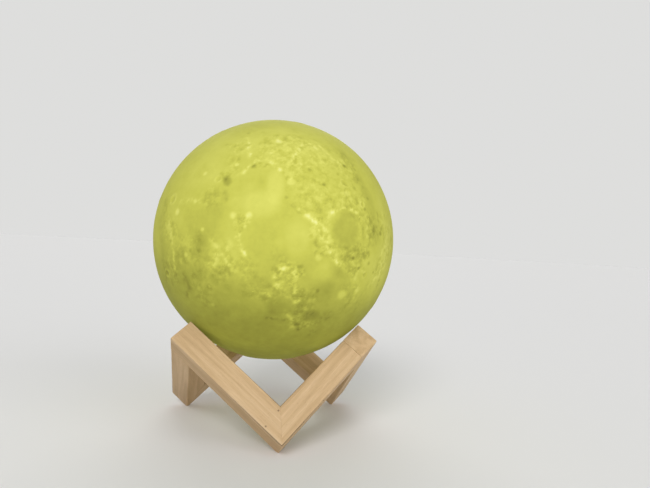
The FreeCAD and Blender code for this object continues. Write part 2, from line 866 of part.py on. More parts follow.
def switch_body():
    """Square body of the push switch, with the bore of its plunger."""
    body = new_body("switch_body")
    sleeve = new_sketch(body, "sleeve", level="switch_level")
    add_rectangle(sleeve, "0", "0", "switch_side", "switch_side")
    add_circle(sleeve, "plunger_dia / 2 + plunger_clearance")
    add_pad(body, "sleeve_block", sleeve, "switch_bore_top - switch_level")
    roof = new_sketch(body, "roof", level="switch_bore_top")
    add_rectangle(roof, "0", "0", "switch_side", "switch_side")
    add_pad(body, "roof_block", roof, "switch_roof")
    at_button(body)
    return keep(body, "switch_body")


def power_button():
    """Cap with the flange that keeps it behind the plate."""
    body = new_body("power_button")
    cap = add_turned(
        body,
        "cap",
        [
            ("0", "plate_recess - button_proud"),
            ("button_dia / 2", "plate_recess - button_proud"),
            ("button_dia / 2", "button_flange_level"),
            ("button_dia / 2 + button_flange_width", "button_flange_level"),
            ("button_dia / 2 + button_flange_width", "button_top"),
            ("0", "button_top"),
        ],
    )
    doc.recompute()
    lowest = cap.Shape.BoundBox.ZMin
    add_chamfer(body, cap, "button_bevel", lambda edge: edge.BoundBox.ZMax < lowest + 1e-6)
    at_button(body)
    return keep(body, "power_button")


def switch_plunger():
    body = new_body("switch_plunger")
    outline = new_sketch(body, "outline", level="button_top")
    add_circle(outline, "plunger_dia / 2")
    add_pad(body, "rod", outline, "plunger_length")
    at_button(body)
    return keep(body, "switch_plunger")


def switch_spring():
    """Coil between the plunger and the roof of its bore, of six-sided wire."""
    wire = size("spring_wire")
    radius = (size("spring_dia") - wire) / 2
    height = size("switch_bore_top") - size("plunger_top") - wire - 2 * size("fit_gap")
    pitch = height / size("spring_turns")
    helix = Part.makeHelix(pitch, height, radius)
    corners = []
    for i in range(WIRE_SIDES):
        angle = 2 * math.pi / WIRE_SIDES * i
        corners.append(
            Vector(radius + wire / 2 * math.cos(angle), 0, wire / 2 * math.sin(angle))
        )
    section = Part.makePolygon(corners + corners[:1])
    coil = Part.Wire(helix.Edges).makePipeShell([section], True, True)
    spring = doc.addObject("Part::Feature", "switch_spring")
    spring.Shape = coil
    level = size("rim_level") + size("plunger_top") + size("fit_gap") + wire / 2
    spring.Placement = FreeCAD.Placement(
        Vector(size("button_offset"), 0, level), FreeCAD.Rotation()
    )
    return keep(spring, "switch_spring")


def charge_light():
    """Clear light pipe in the plate and the lamp that shines into it."""
    lens = new_body("charge_light")
    add_turned(
        lens,
        "pipe",
        [
            ("0", "plate_recess"),
            ("light_dia / 2", "plate_recess"),
            ("light_dia / 2", "plate_top"),
            ("light_dia / 2 + light_flange_width", "plate_top"),
            ("light_dia / 2 + light_flange_width", "plate_top + light_flange"),
            ("light_dia / 2", "plate_top + light_flange"),
            ("light_dia / 2", "board_level - light_led_height - fit_gap"),
            ("0", "board_level - light_led_height - fit_gap"),
        ],
    )
    stand_at(lens, "rim_level")
    lens.setExpression("Placement.Base.y", tied("-light_offset"))
    keep(lens, "charge_light")
    led = new_body("charge_led")
    outline = new_sketch(led, "outline", level="board_level")
    add_rectangle(outline, "0", "0", "light_dia", "light_led_width")
    add_pad(led, "chip", outline, "light_led_height", downward=True)
    stand_at(led, "rim_level")
    led.setExpression("Placement.Base.y", tied("-light_offset"))
    keep(led, "charge_led")


def battery_tube():
    """Upright tube that carries the light board; three ribs centre the cell."""
    body = new_body("battery_tube")
    flange = new_sketch(body, "flange", level="neck_depth")
    add_circle(flange, "opening_radius - stop_width - fit_gap")
    add_circle(flange, "tube_bore / 2")
    for place in places_round("tube_screw_circle_dia", TUBE_SCREW_ANGLE, SCREW_COUNT):
        add_circle(flange, "plate_screw_dia / 2 + fit_gap", *place)
    add_pad(body, "flange_disc", flange, "tube_flange_thickness")
    wall = new_sketch(body, "wall", level="neck_depth + tube_flange_thickness")
    add_circle(wall, "tube_radius")
    add_circle(wall, "tube_bore / 2")
    add_pad(body, "tube_wall", wall, "tube_top - neck_depth - tube_flange_thickness")
    rib = new_sketch(body, "rib", level="neck_depth")
    add_polygon(
        rib,
        [
            ("-tube_rib / 2", "-cell_dia / 2 - fit_gap"),
            ("-tube_rib / 2", "-tube_bore / 2 - tube_wall / 2"),
            ("tube_rib / 2", "-tube_bore / 2 - tube_wall / 2"),
            ("tube_rib / 2", "-cell_dia / 2 - fit_gap"),
        ],
    )
    rib_pad = add_pad(body, "rib_bar", rib, "cell_top - neck_depth")
    add_ring_of(body, [rib_pad], RIB_COUNT)
    stand_at(body, "rim_level")
    return keep(body, "battery_tube")


def battery_cell():
    body = new_body("battery_cell")
    add_turned(
        body,
        "can",
        [
            ("0", "cell_level"),
            ("cell_dia / 2", "cell_level"),
            ("cell_dia / 2", "cell_top - cell_nub_height"),
            ("cell_nub_dia / 2", "cell_top - cell_nub_height"),
            ("cell_nub_dia / 2", "cell_top"),
            ("0", "cell_top"),
        ],
    )
    stand_at(body, "rim_level")
    return keep(body, "battery_cell")


def battery_tabs():
    """Flat strips from both ends of the cell down to the board."""
    body = new_body("battery_tabs")
    lower = new_sketch(body, "lower", "YZ_Plane")
    add_polygon(
        lower,
        [
            ("-tab_thickness / 2", "board_top"),
            ("tab_thickness / 2", "board_top"),
            ("tab_thickness / 2", "neck_depth"),
            ("cell_dia / 4", "neck_depth"),
            ("cell_dia / 4", "cell_level"),
            ("-tab_thickness / 2", "cell_level"),
        ],
    )
    low = add_pad(body, "lower_strip", lower, "tab_width")
    low.Midplane = True
    upper = new_sketch(body, "upper", "YZ_Plane")
    add_polygon(
        upper,
        [
            ("lead_circle_dia / 2 - tab_thickness / 2", "board_top"),
            ("lead_circle_dia / 2 + tab_thickness / 2", "board_top"),
            ("lead_circle_dia / 2 + tab_thickness / 2", "cell_top + tab_thickness"),
            ("-cell_nub_dia / 2", "cell_top + tab_thickness"),
            ("-cell_nub_dia / 2", "cell_top"),
            ("lead_circle_dia / 2 - tab_thickness / 2", "cell_top"),
        ],
    )
    high = add_pad(body, "upper_strip", upper, "tab_width")
    high.Midplane = True
    stand_at(body, "rim_level")
    return keep(body, "battery_tabs")


def cell_pad():
    """Foam disc that keeps the cell from rattling."""
    body = new_body("cell_pad")
    outline = new_sketch(body, "outline", level="cell_top + tab_thickness")
    add_circle(outline, "cell_dia / 2 - pad_margin")
    add_pad(body, "disc", outline, "pad_thickness")
    stand_at(body, "rim_level")
    return keep(body, "cell_pad")


def tube_cap():
    """Lid of the tube, with a skirt round its end and holes for the leads."""
    body = new_body("tube_cap")
    skirt = new_sketch(body, "skirt", level="tube_top - cap_skirt")
    add_circle(skirt, "tube_radius + fit_gap + cap_wall")
    add_circle(skirt, "tube_radius + fit_gap")
    add_pad(body, "skirt_ring", skirt, "cap_skirt")
    disc = new_sketch(body, "disc", level="tube_top")
    add_circle(disc, "tube_radius + fit_gap + cap_wall")
    add_lead_holes(disc)
    for place in places_round("led_screw_circle_dia", LED_SCREW_ANGLE, LED_SCREW_COUNT):
        add_circle(disc, "board_screw_dia / 2 + fit_gap / 2", *place)
    add_pad(body, "disc_pad", disc, "cap_thickness")
    stand_at(body, "rim_level")
    return keep(body, "tube_cap")


def led_board():
    body = new_body("led_board")
    outline = new_sketch(body, "outline", level="cap_top")
    add_circle(outline, "led_board_dia / 2")
    for place in places_round("led_screw_circle_dia", LED_SCREW_ANGLE, LED_SCREW_COUNT):
        add_circle(outline, "board_screw_dia / 2 + fit_gap", *place)
    add_pad(body, "board", outline, "led_board_thickness")
    stand_at(body, "rim_level")
    return keep(body, "led_board")


def led_chips():
    body = new_body("led_chips")
    outline = new_sketch(body, "outline", level="led_board_top")
    add_rectangle(outline, "led_circle_dia / 2", "0", "led_side", "led_side")
    chip = add_pad(body, "chip", outline, "led_height")
    add_ring_of(body, [chip], int(size("led_count")))
    stand_at(body, "rim_level", LED_TURN)
    return keep(body, "led_chips")


def supply_leads():
    """Two straight leads between the ribs, from the control board to the light board."""
    body = new_body("supply_leads")
    outline = new_sketch(body, "outline", level="board_top")
    for side in (-1, 1):
        add_circle(outline, "lead_dia / 2", f"{side} * lead_circle_dia / 2", "0")
    add_pad(body, "leads", outline, "cap_top - board_top")
    stand_at(body, "rim_level")
    return keep(body, "supply_leads")


def touch_lead():
    """Stiff wire from the touch ring to the control board, with two round bends."""
    outside = size("touch_circle_dia") / 2
    inside = size("board_dia") / 2 - size("lead_dia")
    bend = size("touch_lead_bend")
    start = size("ring_height")
    turn_level = size("touch_lead_level")
    end = size("board_level")
    slack = bend * (1 - math.sqrt(0.5))
    edges = [
        Part.LineSegment(Vector(outside, 0, start), Vector(outside, 0, turn_level - bend)),
        Part.Arc(
            Vector(outside, 0, turn_level - bend),
            Vector(outside - slack, 0, turn_level - slack),
            Vector(outside - bend, 0, turn_level),
        ),
        Part.LineSegment(
            Vector(outside - bend, 0, turn_level), Vector(inside + bend, 0, turn_level)
        ),
        Part.Arc(
            Vector(inside + bend, 0, turn_level),
            Vector(inside + slack, 0, turn_level + slack),
            Vector(inside, 0, turn_level + bend),
        ),
        Part.LineSegment(Vector(inside, 0, turn_level + bend), Vector(inside, 0, end)),
    ]
    path = Part.Wire([edge.toShape() for edge in edges])
    section = Part.Wire(
        [Part.makeCircle(size("lead_dia") / 2, Vector(outside, 0, start), Vector(0, 0, 1))]
    )
    lead = doc.addObject("Part::Feature", "touch_lead")
    lead.Shape = path.makePipeShell([section], True, False)
    lead.Placement = FreeCAD.Placement(
        Vector(0, 0, size("rim_level")), FreeCAD.Rotation(Vector(0, 0, 1), TOUCH_ANGLE)
    )
    return keep(lead, "touch_lead")


# ---------------------------------------------------------------- the lamp

for side in range(len(SIDES)):
    v_piece(side)
joint_dowels()

carved_globe()
touch_ring()
base_plate()
ring_of_screws(
    "plate_screws",
    "plate_screw_circle_dia",
    SCREW_COUNT,
    PLATE_SCREW_ANGLE,
    "rim_level + ring_height - screw_head_height",
    screw_section("screw_head_height", "plate_screw_length", "screw_head_dia", "plate_screw_dia"),
)
base_housing()
control_board()
board_chips()
ring_of_screws(
    "board_screws",
    "board_screw_circle_dia",
    len(BOARD_SCREW_ANGLES),
    BOARD_SCREW_ANGLES[0],
    "rim_level + board_top + screw_head_height",
    screw_section("screw_head_height", "board_screw_length", "screw_head_dia", "board_screw_dia"),
    head_up=True,
)
charging_socket()
socket_pin()
switch_body()
power_button()
switch_plunger()
switch_spring()
charge_light()
touch_lead()
battery_tube()
ring_of_screws(
    "tube_screws",
    "tube_screw_circle_dia",
    SCREW_COUNT,
    TUBE_SCREW_ANGLE,
    "rim_level + neck_depth + tube_flange_thickness + screw_head_height",
    screw_section("screw_head_height", "tube_screw_length", "screw_head_dia", "plate_screw_dia"),
    head_up=True,
)
battery_cell()
battery_tabs()
cell_pad()
tube_cap()
led_board()
led_chips()
ring_of_screws(
    "led_screws",
    "led_screw_circle_dia",
    LED_SCREW_COUNT,
    LED_SCREW_ANGLE,
    "rim_level + led_board_top + screw_head_height",
    screw_section("screw_head_height", "led_screw_length", "screw_head_dia", "board_screw_dia"),
    head_up=True,
)
supply_leads()

doc.recompute()

failed = [item.Name for item in doc.Objects if {"Invalid", "Error"} & set(item.State)]
if failed:
    raise SystemExit(f"failed features: {failed}")
for label, node in nodes.items():
    if node.Shape.isNull() or not node.Shape.isValid():
        raise SystemExit(f"{label} has no valid shape")
for label, node in nodes.items():
    node.Shape.exportStep(f"parts/{label}.step")
    box = node.Shape.BoundBox
    print(
        f"{label:22s} solids {len(node.Shape.Solids)}  volume {node.Shape.Volume:10.1f}  "
        f"x {box.XMin:7.2f} {box.XMax:7.2f}  y {box.YMin:7.2f} {box.YMax:7.2f}  "
        f"z {box.ZMin:7.2f} {box.ZMax:7.2f}"
    )
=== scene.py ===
"""Looks of the moon lamp: the lit printed globe, the beech stand and the light unit below.

All lengths are metres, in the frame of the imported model: +Z up, origin on the table
under the middle of the globe, -Y towards the front V of the stand.
"""

import json
import math
import random

import bmesh
import bpy
import numpy as np
from mathutils import Matrix, Vector, noise


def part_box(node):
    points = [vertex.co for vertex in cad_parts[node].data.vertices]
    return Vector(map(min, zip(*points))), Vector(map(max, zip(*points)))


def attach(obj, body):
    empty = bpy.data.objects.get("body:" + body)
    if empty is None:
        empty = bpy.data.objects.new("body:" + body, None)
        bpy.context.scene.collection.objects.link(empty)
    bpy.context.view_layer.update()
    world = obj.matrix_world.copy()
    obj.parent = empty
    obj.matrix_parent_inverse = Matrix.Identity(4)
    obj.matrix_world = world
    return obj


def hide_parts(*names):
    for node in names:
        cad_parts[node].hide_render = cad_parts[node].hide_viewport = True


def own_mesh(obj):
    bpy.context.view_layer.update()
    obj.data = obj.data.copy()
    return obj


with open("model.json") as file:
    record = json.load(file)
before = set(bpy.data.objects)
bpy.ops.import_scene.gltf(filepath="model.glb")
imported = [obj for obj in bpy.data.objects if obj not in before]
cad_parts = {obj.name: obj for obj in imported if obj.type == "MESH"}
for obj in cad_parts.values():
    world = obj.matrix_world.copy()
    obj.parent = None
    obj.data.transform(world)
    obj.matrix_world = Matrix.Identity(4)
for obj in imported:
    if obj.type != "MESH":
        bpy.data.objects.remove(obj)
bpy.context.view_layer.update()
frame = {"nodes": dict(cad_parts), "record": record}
nodes = frame["nodes"]

# ---------------------------------------------------------------- sizes

MM = 0.001
shell_low, shell_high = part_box("moon_shell")
GLOBE_RADIUS = (shell_high[0] - shell_low[0]) / 2
GLOBE_CENTRE = Vector((0, 0, shell_high[2] - GLOBE_RADIUS))
RIM_LEVEL = shell_low[2]
OPENING_RADIUS = math.sqrt(GLOBE_RADIUS ** 2 - (GLOBE_CENTRE.z - RIM_LEVEL) ** 2)

FRAME_EDGE = 85 * MM            # edge of the cube whose edges the battens follow
BATTEN = 15 * MM
FOOT_FLAT = 1.2 * MM            # height sanded off the three lowest corners
FRAME_DROP = (FRAME_EDGE - BATTEN) / math.sqrt(3) + FOOT_FLAT

# ---------------------------------------------------------------- camera

PHOTO_WIDTH = 650               # pixels
PHOTO_HEIGHT = 488
FOCAL_LENGTH = 554.5            # pixels
CAMERA_DISTANCE = 355.7 * MM    # from the middle of the globe
CAMERA_AZIMUTH = -7.5           # degrees; below 0 is left of straight ahead
CAMERA_ELEVATION = 0.0
CAMERA_ROLL = 3.04
GLOBE_PIXEL = (275.4, 239.6)    # where the middle of the globe shows
SENSOR_WIDTH = 36.0             # in Blender's own millimetres
NEAR_LIMIT = 10 * MM


def direction_at(azimuth, elevation):
    """Unit direction; azimuth 0 degrees points to the front, 90 to the right."""
    turn = math.radians(azimuth)
    rise = math.radians(elevation)
    return (
        math.sin(turn) * math.cos(rise), -math.cos(turn) * math.cos(rise), math.sin(rise),
    )


def add_camera():
    """Camera that sees the globe's middle at its pixel, with no shift."""
    back = Vector(direction_at(CAMERA_AZIMUTH, CAMERA_ELEVATION))
    right = (-back).cross(Vector((0, 0, 1))).normalized()
    down = (-back).cross(right)
    looking = Matrix((right, down, -back))
    to_globe = Vector((
        GLOBE_PIXEL[0] - PHOTO_WIDTH / 2,
        GLOBE_PIXEL[1] - PHOTO_HEIGHT / 2,
        FOCAL_LENGTH,
    )).normalized()
    yaw = math.atan2(to_globe.x, to_globe.z)
    pitch = -math.asin(to_globe.y)
    turn = (
        Matrix.Rotation(yaw, 3, "Y")
        @ Matrix.Rotation(pitch, 3, "X")
        @ Matrix.Rotation(math.radians(CAMERA_ROLL), 3, "Z")
    )
    axes = turn @ looking
    rotation = Matrix((axes[0], -axes[1], -axes[2])).transposed()
    place = Matrix.Translation(GLOBE_CENTRE + back * CAMERA_DISTANCE)
    data = bpy.data.cameras.new("camera")
    data.sensor_width = SENSOR_WIDTH
    data.lens = FOCAL_LENGTH / PHOTO_WIDTH * SENSOR_WIDTH
    data.clip_start = NEAR_LIMIT
    camera = bpy.data.objects.new("camera", data)
    camera.matrix_world = place @ rotation.to_4x4()
    bpy.context.scene.collection.objects.link(camera)
    bpy.context.scene.camera = camera


add_camera()

# ---------------------------------------------------------------- helpers


def new_material(name):
    """Node material with its tree and its shader."""
    material = bpy.data.materials.new(name)
    material.use_nodes = True
    tree = material.node_tree
    shader = next(node for node in tree.nodes if node.type == "BSDF_PRINCIPLED")
    return material, tree, shader


def feed(tree, socket, value):
    """Sets a socket to a number or colour, or links another node's output to it."""
    if isinstance(value, bpy.types.NodeSocket):
        tree.links.new(value, socket)
    else:
        socket.default_value = value


def set_inputs(tree, node, **inputs):
    """Feeds the named inputs of a node; an underscore stands for a space in the name."""
    for name, value in inputs.items():
        feed(tree, node.inputs[name.replace("_", " ")], value)


def add_node(tree, kind, **inputs):
    node = tree.nodes.new(f"ShaderNode{kind}")
    set_inputs(tree, node, **inputs)
    return node


def maths(tree, operation, *values):
    """Result of a math node on numbers or other nodes' outputs."""
    node = tree.nodes.new("ShaderNodeMath")
    node.operation = operation
    for socket, value in zip(node.inputs, values):
        feed(tree, socket, value)
    return node.outputs["Value"]


def remapped(tree, value, low, high, to_low, to_high, smooth=False):
    """Value moved from one range to another."""
    node = add_node(
        tree, "MapRange", Value=value,
        From_Min=low, From_Max=high, To_Min=to_low, To_Max=to_high,
    )
    if smooth:
        node.interpolation_type = "SMOOTHSTEP"
    return node.outputs["Result"]


def ramp(tree, value, stops):
    """Colour of a value on a ramp through (place, colour) stops."""
    node = add_node(tree, "ValToRGB", Fac=value)
    elements = node.color_ramp.elements
    while len(elements) < len(stops):
        elements.new(0.5)
    for element, (place, colour) in zip(elements, stops):
        element.position = place
        element.color = (*colour, 1.0)
    return node.outputs["Color"]


def mixed(tree, share, first, second, multiply=False):
    """Second colour laid over the first by a share, or multiplied onto it."""
    node = add_node(tree, "MixRGB", Fac=share, Color1=first, Color2=second)
    if multiply:
        node.blend_type = "MULTIPLY"
    return node.outputs["Color"]


def add_bump(tree, shader, height, strength, distance):
    bump = add_node(tree, "Bump", Strength=strength, Distance=distance, Height=height)
    set_inputs(tree, shader, Normal=bump.outputs["Normal"])


def object_place(tree):
    return add_node(tree, "TexCoord").outputs["Object"]


def add_object(name, mesh, material):
    """Smooth-shaded object with one material."""
    piece = bpy.data.objects.new(name, mesh)
    bpy.context.scene.collection.objects.link(piece)
    mesh.materials.append(material)
    for polygon in mesh.polygons:
        polygon.use_smooth = True
    return piece


# ---------------------------------------------------------------- globe relief

RINGS = 350                     # rows of the globe's mesh, from the rim to the top
COLUMNS = 720
RELIEF_DEPTH = 0.9 * MM         # deepest carving under the globe's true radius
RIM_ROWS = 3                    # over which the relief fades out at the opening
WALL_DEPTH = 3 * MM             # wall of the opening that goes up inside the collar

# smooth plains: longitude, latitude, half width and half height in degrees, brightness
PLAINS = (
    (22.5, 5.5, 7.6, 7.4, -0.12),
    (-12.5, 0.0, 8.0, 9.5, -0.01),
    (1.5, 0.5, 6.0, 9.0, 0.08),
    (-16.5, 25.0, 6.2, 6.6, -0.01),
    (-15.0, 14.0, 8.5, 6.0, 0.12),
    (-8.5, 21.0, 4.0, 9.0, 0.13),
    (13.0, -12.0, 7.2, 6.0, 0.05),
    (-4.0, -28.0, 6.5, 4.8, -0.07),
    (12.5, -32.0, 4.5, 3.6, -0.10),
    (-45.0, 27.0, 11.0, 10.0, 0.06),
    (-43.0, 6.0, 8.0, 5.5, -0.02),
    # sides and back, which the photograph does not show
    (168.0, 18.0, 13.0, 10.0, -0.07),
    (-152.0, -8.0, 10.0, 8.0, -0.06),
    (122.0, 12.0, 9.0, 12.0, -0.05),
    (-112.0, 26.0, 10.0, 8.0, 0.04),
    (148.0, -24.0, 8.0, 6.0, -0.06),
    (95.0, -14.0, 7.0, 6.0, -0.05),
    (-95.0, -10.0, 6.0, 7.0, -0.05),
    (60.0, 62.0, 9.0, 7.0, -0.04),
    (-140.0, 52.0, 9.0, 8.0, -0.05),
)
# rough uplands of the front: longitude, latitude, radius in degrees, strength
UPLANDS = (
    (-6, 40, 15, 0.8), (12, 36, 16, 0.75), (27, 33, 11, 0.7), (8, 20, 13, 0.75),
    (24, 19, 12, 0.85), (36, 6, 10, 1.0), (32, -6, 12, 1.2), (46, -12, 11, 1.1),
    (9, 4, 8, 0.9), (17, -3, 8, 0.8), (-2, -15, 8, 0.85), (6, -25, 9, 0.75),
    (10, -34, 9, 0.7), (-20, -10, 8, 0.6), (-30, -8, 10, 0.5), (-46, -7, 11, 0.45),
    (-58, 4, 10, 0.6), (-36, 17, 8, 0.5), (-25, 42, 8, 0.8), (-42, -20, 10, 0.35),
    (32, -22, 12, 0.55), (-22, 6, 6, 0.8), (52, 4, 12, 0.8), (-58, -14, 9, 0.5),
    (-30, 28, 7, 0.6), (-12, -22, 8, 0.5), (-1, 30, 9, 0.9),
)
# broad soft patches, lighter or darker, some of them painted shade (darker towards the left and
# right sides of the front half, and a painted shadow of the stand's left batten low on the left):
# longitude, latitude, radius in degrees, brightness
PATCHES_AND_PAINTED_SHADE = (
    (-56, -10, 18, -0.08), (-33, 9, 6, -0.09), (-42, 44, 14, 0.08), (-3, 46, 15, 0.09),
    (38, 8, 8, -0.03), (50, -16, 15, 0.16), (-1, -20, 7, 0.05), (-27, -9, 5, 0.08),
    (-38, -2.5, 4, -0.10), (16, -19.5, 4.5, -0.10), (13.5, -10.5, 3.5, 0.05),
    (-36.8, 24.7, 4.5, 0.06), (-26, -3, 4, 0.07), (-42, -13, 6, -0.04), (20, -8, 4, -0.05),
    (40, 3, 7, -0.11), (-14, -42, 9, -0.08), (-32, 57, 9, -0.11), (-21, -13, 4.5, 0.05),
    (-31, 1, 4.5, -0.08), (-35, 18, 6, -0.06), (21, -11, 4, -0.07), (9, -0.5, 3.5, -0.04),
    (-60, -50, 8, -0.14), (-49, -19, 5, -0.05), (36, -51, 8, 0.08), (-20, -52, 7, 0.06),
    (-43, -52, 7, 0.08), (-12, 31, 6, 0.04), (31, -1, 4, -0.05), (0, -4, 6, -0.02),
)
# soft bands: width in degrees, brightness, then places along the band
BANDS = (
    (3.0, -0.10, (33, 43), (36, 29), (39, 19.5), (39, 8)),
    (3.5, -0.07, (-66, 16), (-66, 0), (-63, -14)),
    (3.0, 0.06, (49, 18), (51, 4), (50, -8)),
    (1.6, 0.09, (6, 9.5), (12, 5), (13, -1.5), (20, -8.5)),
)
# bright ridges and dark rilles: width in degrees, brightness, then places along the line
LINES = (
    (1.1, 1.0, (4, 10.5), (7, 8.5), (10, 5.5), (11.5, 2), (14, -1.5), (17, -5), (20, -9)),
    (1.2, 0.6, (15.5, 13), (14, 10), (13, 6), (13.5, 2)),
    (0.7, 0.8, (15.5, 12), (18, 13), (21.5, 14.3), (25, 14.5), (29, 13.2)),
    (0.9, 1.0, (-18.5, 6.5), (-21, 3.5), (-22.5, 0), (-21, -4), (-19, -6.5)),
    (1.3, 1.1, (-2.5, -10), (-4.5, -12), (-6.5, -15), (-5.5, -19)),
    (1.0, 0.8, (0, -11), (1.5, -14), (3.5, -13.5)),
    (0.9, 0.9, (-23.5, 27), (-22, 30), (-19, 33), (-14, 34), (-10, 32), (-8, 29)),
    (1.0, 0.7, (0, 37), (2.5, 40), (5, 45), (11, 46.5), (14, 43)),
    (0.8, 0.6, (15, 48), (18.5, 43), (22, 38), (27, 35.5)),
    (1.1, 0.5, (-58, 4), (-56, -2), (-55, -7), (-55, -14)),
    (0.9, 0.8, (-29, 48), (-26, 43), (-23.5, 38), (-22, 35)),
    (1.1, 0.5, (-53, 14), (-46, 14.5), (-38, 14)),
    (1.4, 0.6, (26, -12), (30, -15), (34, -20)),
    (1.2, 0.5, (47, -3), (46, -9), (43, -18)),
    (1.0, 0.7, (-11, -22), (-8, -24), (-6, -25.5)),
    (1.2, 0.6, (-1, -30), (2, -34), (4, -39)),
    (1.2, 0.8, (2, -20), (4, -23), (3, -27)),
    (1.6, 0.6, (-33, -1), (-30, -6), (-33, -12)),
    (1.8, 0.6, (-26, -3), (-27, -8), (-25, -13)),
    (1.2, -2.0, (-19.5, 30.2), (-16.5, 31.8), (-13, 30.8)),
    (0.8, -0.9, (16.5, -0.2), (20, -1.8), (24, -1.9), (27.5, -0.6)),
    (0.8, -0.5, (19, 12.2), (24, 12.8), (28.5, 10)),
    (0.8, -0.7, (-20, -8), (-16.5, -9.8), (-12, -10.5)),
    (1.0, -0.9, (-10, -34), (-5, -33.4), (0, -34.2)),
    (1.5, -0.8, (4, -28), (7, -25), (9, -22)),
    (1.2, -0.8, (8.5, -34), (10.5, -31), (14, -30.6)),
    (1.2, -0.7, (18, -33), (21.5, -30.5)),
    (1.3, -0.7, (2, 27), (5.5, 25.5), (5, 30), (9, 28)),
    (1.4, -1.0, (28.5, 0), (30, -4), (34, -5)),
    (1.3, -0.8, (23, -4), (25, -9), (27.5, -10)),
    (1.3, -0.8, (38.5, 3), (42, 4)),
    (1.0, -0.7, (30, 13), (32, 10), (33, 6)),
    (2.4, -0.5, (-67, 14), (-64, 9)),
    (2.8, -0.8, (-39.5, -1), (-41, -5)),
    (1.5, -0.7, (-30, 18), (-28.5, 15)),
    (1.6, -0.8, (-49, -17), (-47, -22), (-51, -26)),
    (1.7, -0.7, (-14, -15), (-11, -18)),
    (1.0, -0.7, (19.5, 45.5), (22.5, 46), (22, 42)),
    (0.9, -0.8, (-34, 53), (-30, 51), (-28, 46)),
    (1.0, -0.6, (-20, 52.5), (-18, 50)),
    (1.6, -0.35, (-3, 10), (-3.2, 15), (-4.2, 21)),
    (1.8, -0.3, (-7.5, 6), (-8, 0), (-7.5, -7)),
    (1.3, -0.7, (8, 14), (10, 12.5)),
    (1.0, -1.1, (31.5, 7), (31.8, 2.5)),
    (1.0, -1.2, (39.5, 7), (42, 1)),
    (1.0, -1.1, (47.5, 8), (48.5, 2)),
    (1.0, -1.0, (52, 17), (51, 12)),
    (1.1, -1.0, (25.5, -2.5), (30, -3.2), (34, -5), (29.5, -7.5)),
)
# small round marks: longitude, latitude, radius in degrees, brightness
MARKS = (
    (-54, 9.3, 1.5, 1.2), (-25, 8.6, 1.5, 1.2), (-18.5, 9.0, 1.4, 1.3), (-2.2, 24, 1.5, 1.1),
    (-8.5, 45.7, 1.5, 1.3), (-7, 29.3, 0.9, 1.2), (-27.7, 31, 0.9, 1.1), (-43.5, 26.5, 0.9, 0.9),
    (-22.3, 37, 0.7, 1.1), (-38, 2.5, 0.9, 1.1), (-46.5, -8, 1.1, 0.9), (-19.2, -5.6, 0.7, 0.8),
    (28, 13.2, 0.8, 0.8), (16.5, 11.5, 0.9, 0.5), (5.5, 10.6, 0.8, 0.5), (-4, -10.3, 1.4, 0.7),
    (1.2, 12.5, 0.6, 1.0), (28.2, 35, 0.9, -1.3), (7, 30.5, 0.8, -0.8), (13, 24, 0.8, -0.8),
    (22, 30, 0.9, -0.6), (30, 24, 0.9, -0.7), (34, 15, 0.8, -0.8), (37, -8, 0.9, -0.9),
    (31, -10, 0.8, -1.0), (27, -6, 0.8, -0.9), (42, -12, 0.8, -0.8), (45, 5, 1.0, -0.9),
    (-34, 26, 1.2, -0.6), (-48, -7, 1.0, -0.4), (-44, -6, 1.0, -0.4), (-39, -6, 1.0, -0.5),
    (-4, 17, 0.8, -0.6), (12, -20, 0.8, -0.6), (-36, -29, 0.9, 0.5), (-44, 14, 1.0, 0.8),
    (38, 20, 0.7, -0.6), (50, -2, 0.9, -0.8), (3, 33, 0.7, 0.9), (-12, 38, 0.8, 0.8),
    (24.8, -21.9, 2.2, 0.8), (10.3, -6.2, 1.2, 0.8), (-29.8, 22.5, 2.1, -0.9),
    (-31.7, 24, 1.5, -0.5),
)
# ring craters with a raised edge: longitude, latitude, radius in degrees
RING_CRATERS = (
    (6.5, 2, 1.2), (33, 17, 1.4), (-60, 15, 2.2), (0, 34, 1.5), (24, 26, 1.5),
    (30.5, 10.5, 1.1), (-63, -17, 1.8), (36, -13, 1.4), (-35, 24, 1.6),
    (-166, 34, 3.2), (176, -14, 2.6), (141, 38, 2.4), (-128, 14, 2.8), (112, -22, 2.6),
    (-100, 6, 2.4), (152, 4, 2.2), (-172, -32, 3.0), (84, 24, 2.6), (100, 48, 3.0),
    (-75, 56, 2.6), (20, 72, 2.8), (-135, -26, 2.2), (70, -30, 2.0), (-178, 66, 3.4),
)
SCATTERED_CRATERS = 900
CRATER_SEED = 11
SCATTER_RANGE = (0.5, 2.7)      # radius of the scattered craters, in degrees
SCATTER_POWER = 7               # the higher, the more of them are small
BACK_GROWTH = 1.7               # how much wider they are behind

# craters, in their own radii: end of the bowl's floor, foot of the lip, its crest and width
SCATTER_PROFILE = (0.45, 0.95, 1.05, 0.22)
RING_PROFILE = (0.4, 0.9, 1.0, 0.3)

# noise over the globe: waves per radius and seed
COARSE_NOISE = (3.5, 1)
MIDDLE_NOISE = (11.0, 2)
FINE_NOISE = (25.0, 3)
NOISE_OCTAVES = 4

PHOTO_SIDE = -7                 # longitude that the photograph looks at
BACK_ROUGHNESS = 0.85
PLAIN_EDGE = (0.86, 1.04)       # where the uplands set in, in radii of the plain
PLAIN_FADE = (0.45, 1.12)       # where its brightness fades out, in the same radii
LINE_SIDE = 0.7                 # cosine of the widest angle from a line's first place

MEAN_SINK = 0.30 * MM           # of the smooth parts
SWELL = 0.05 * MM
UPLAND_RELIEF = 0.10 * MM
LINE_CUT = 0.08 * MM
SCATTER_LIP = 0.10 * MM
SCATTER_BOWL = 0.20 * MM
RING_LIP = 0.14 * MM
RING_BOWL = 0.25 * MM
MARK_CUT = 0.10 * MM

MEAN_TONE = 0.5
BRIGHT_LINE_TONE = 0.20
DARK_LINE_TONE = 0.11
MARK_TONE = 0.24


def on_globe(longitude, latitude):
    """Direction of a place on the globe; longitude 0 faces the front."""
    return np.array(direction_at(longitude, latitude))


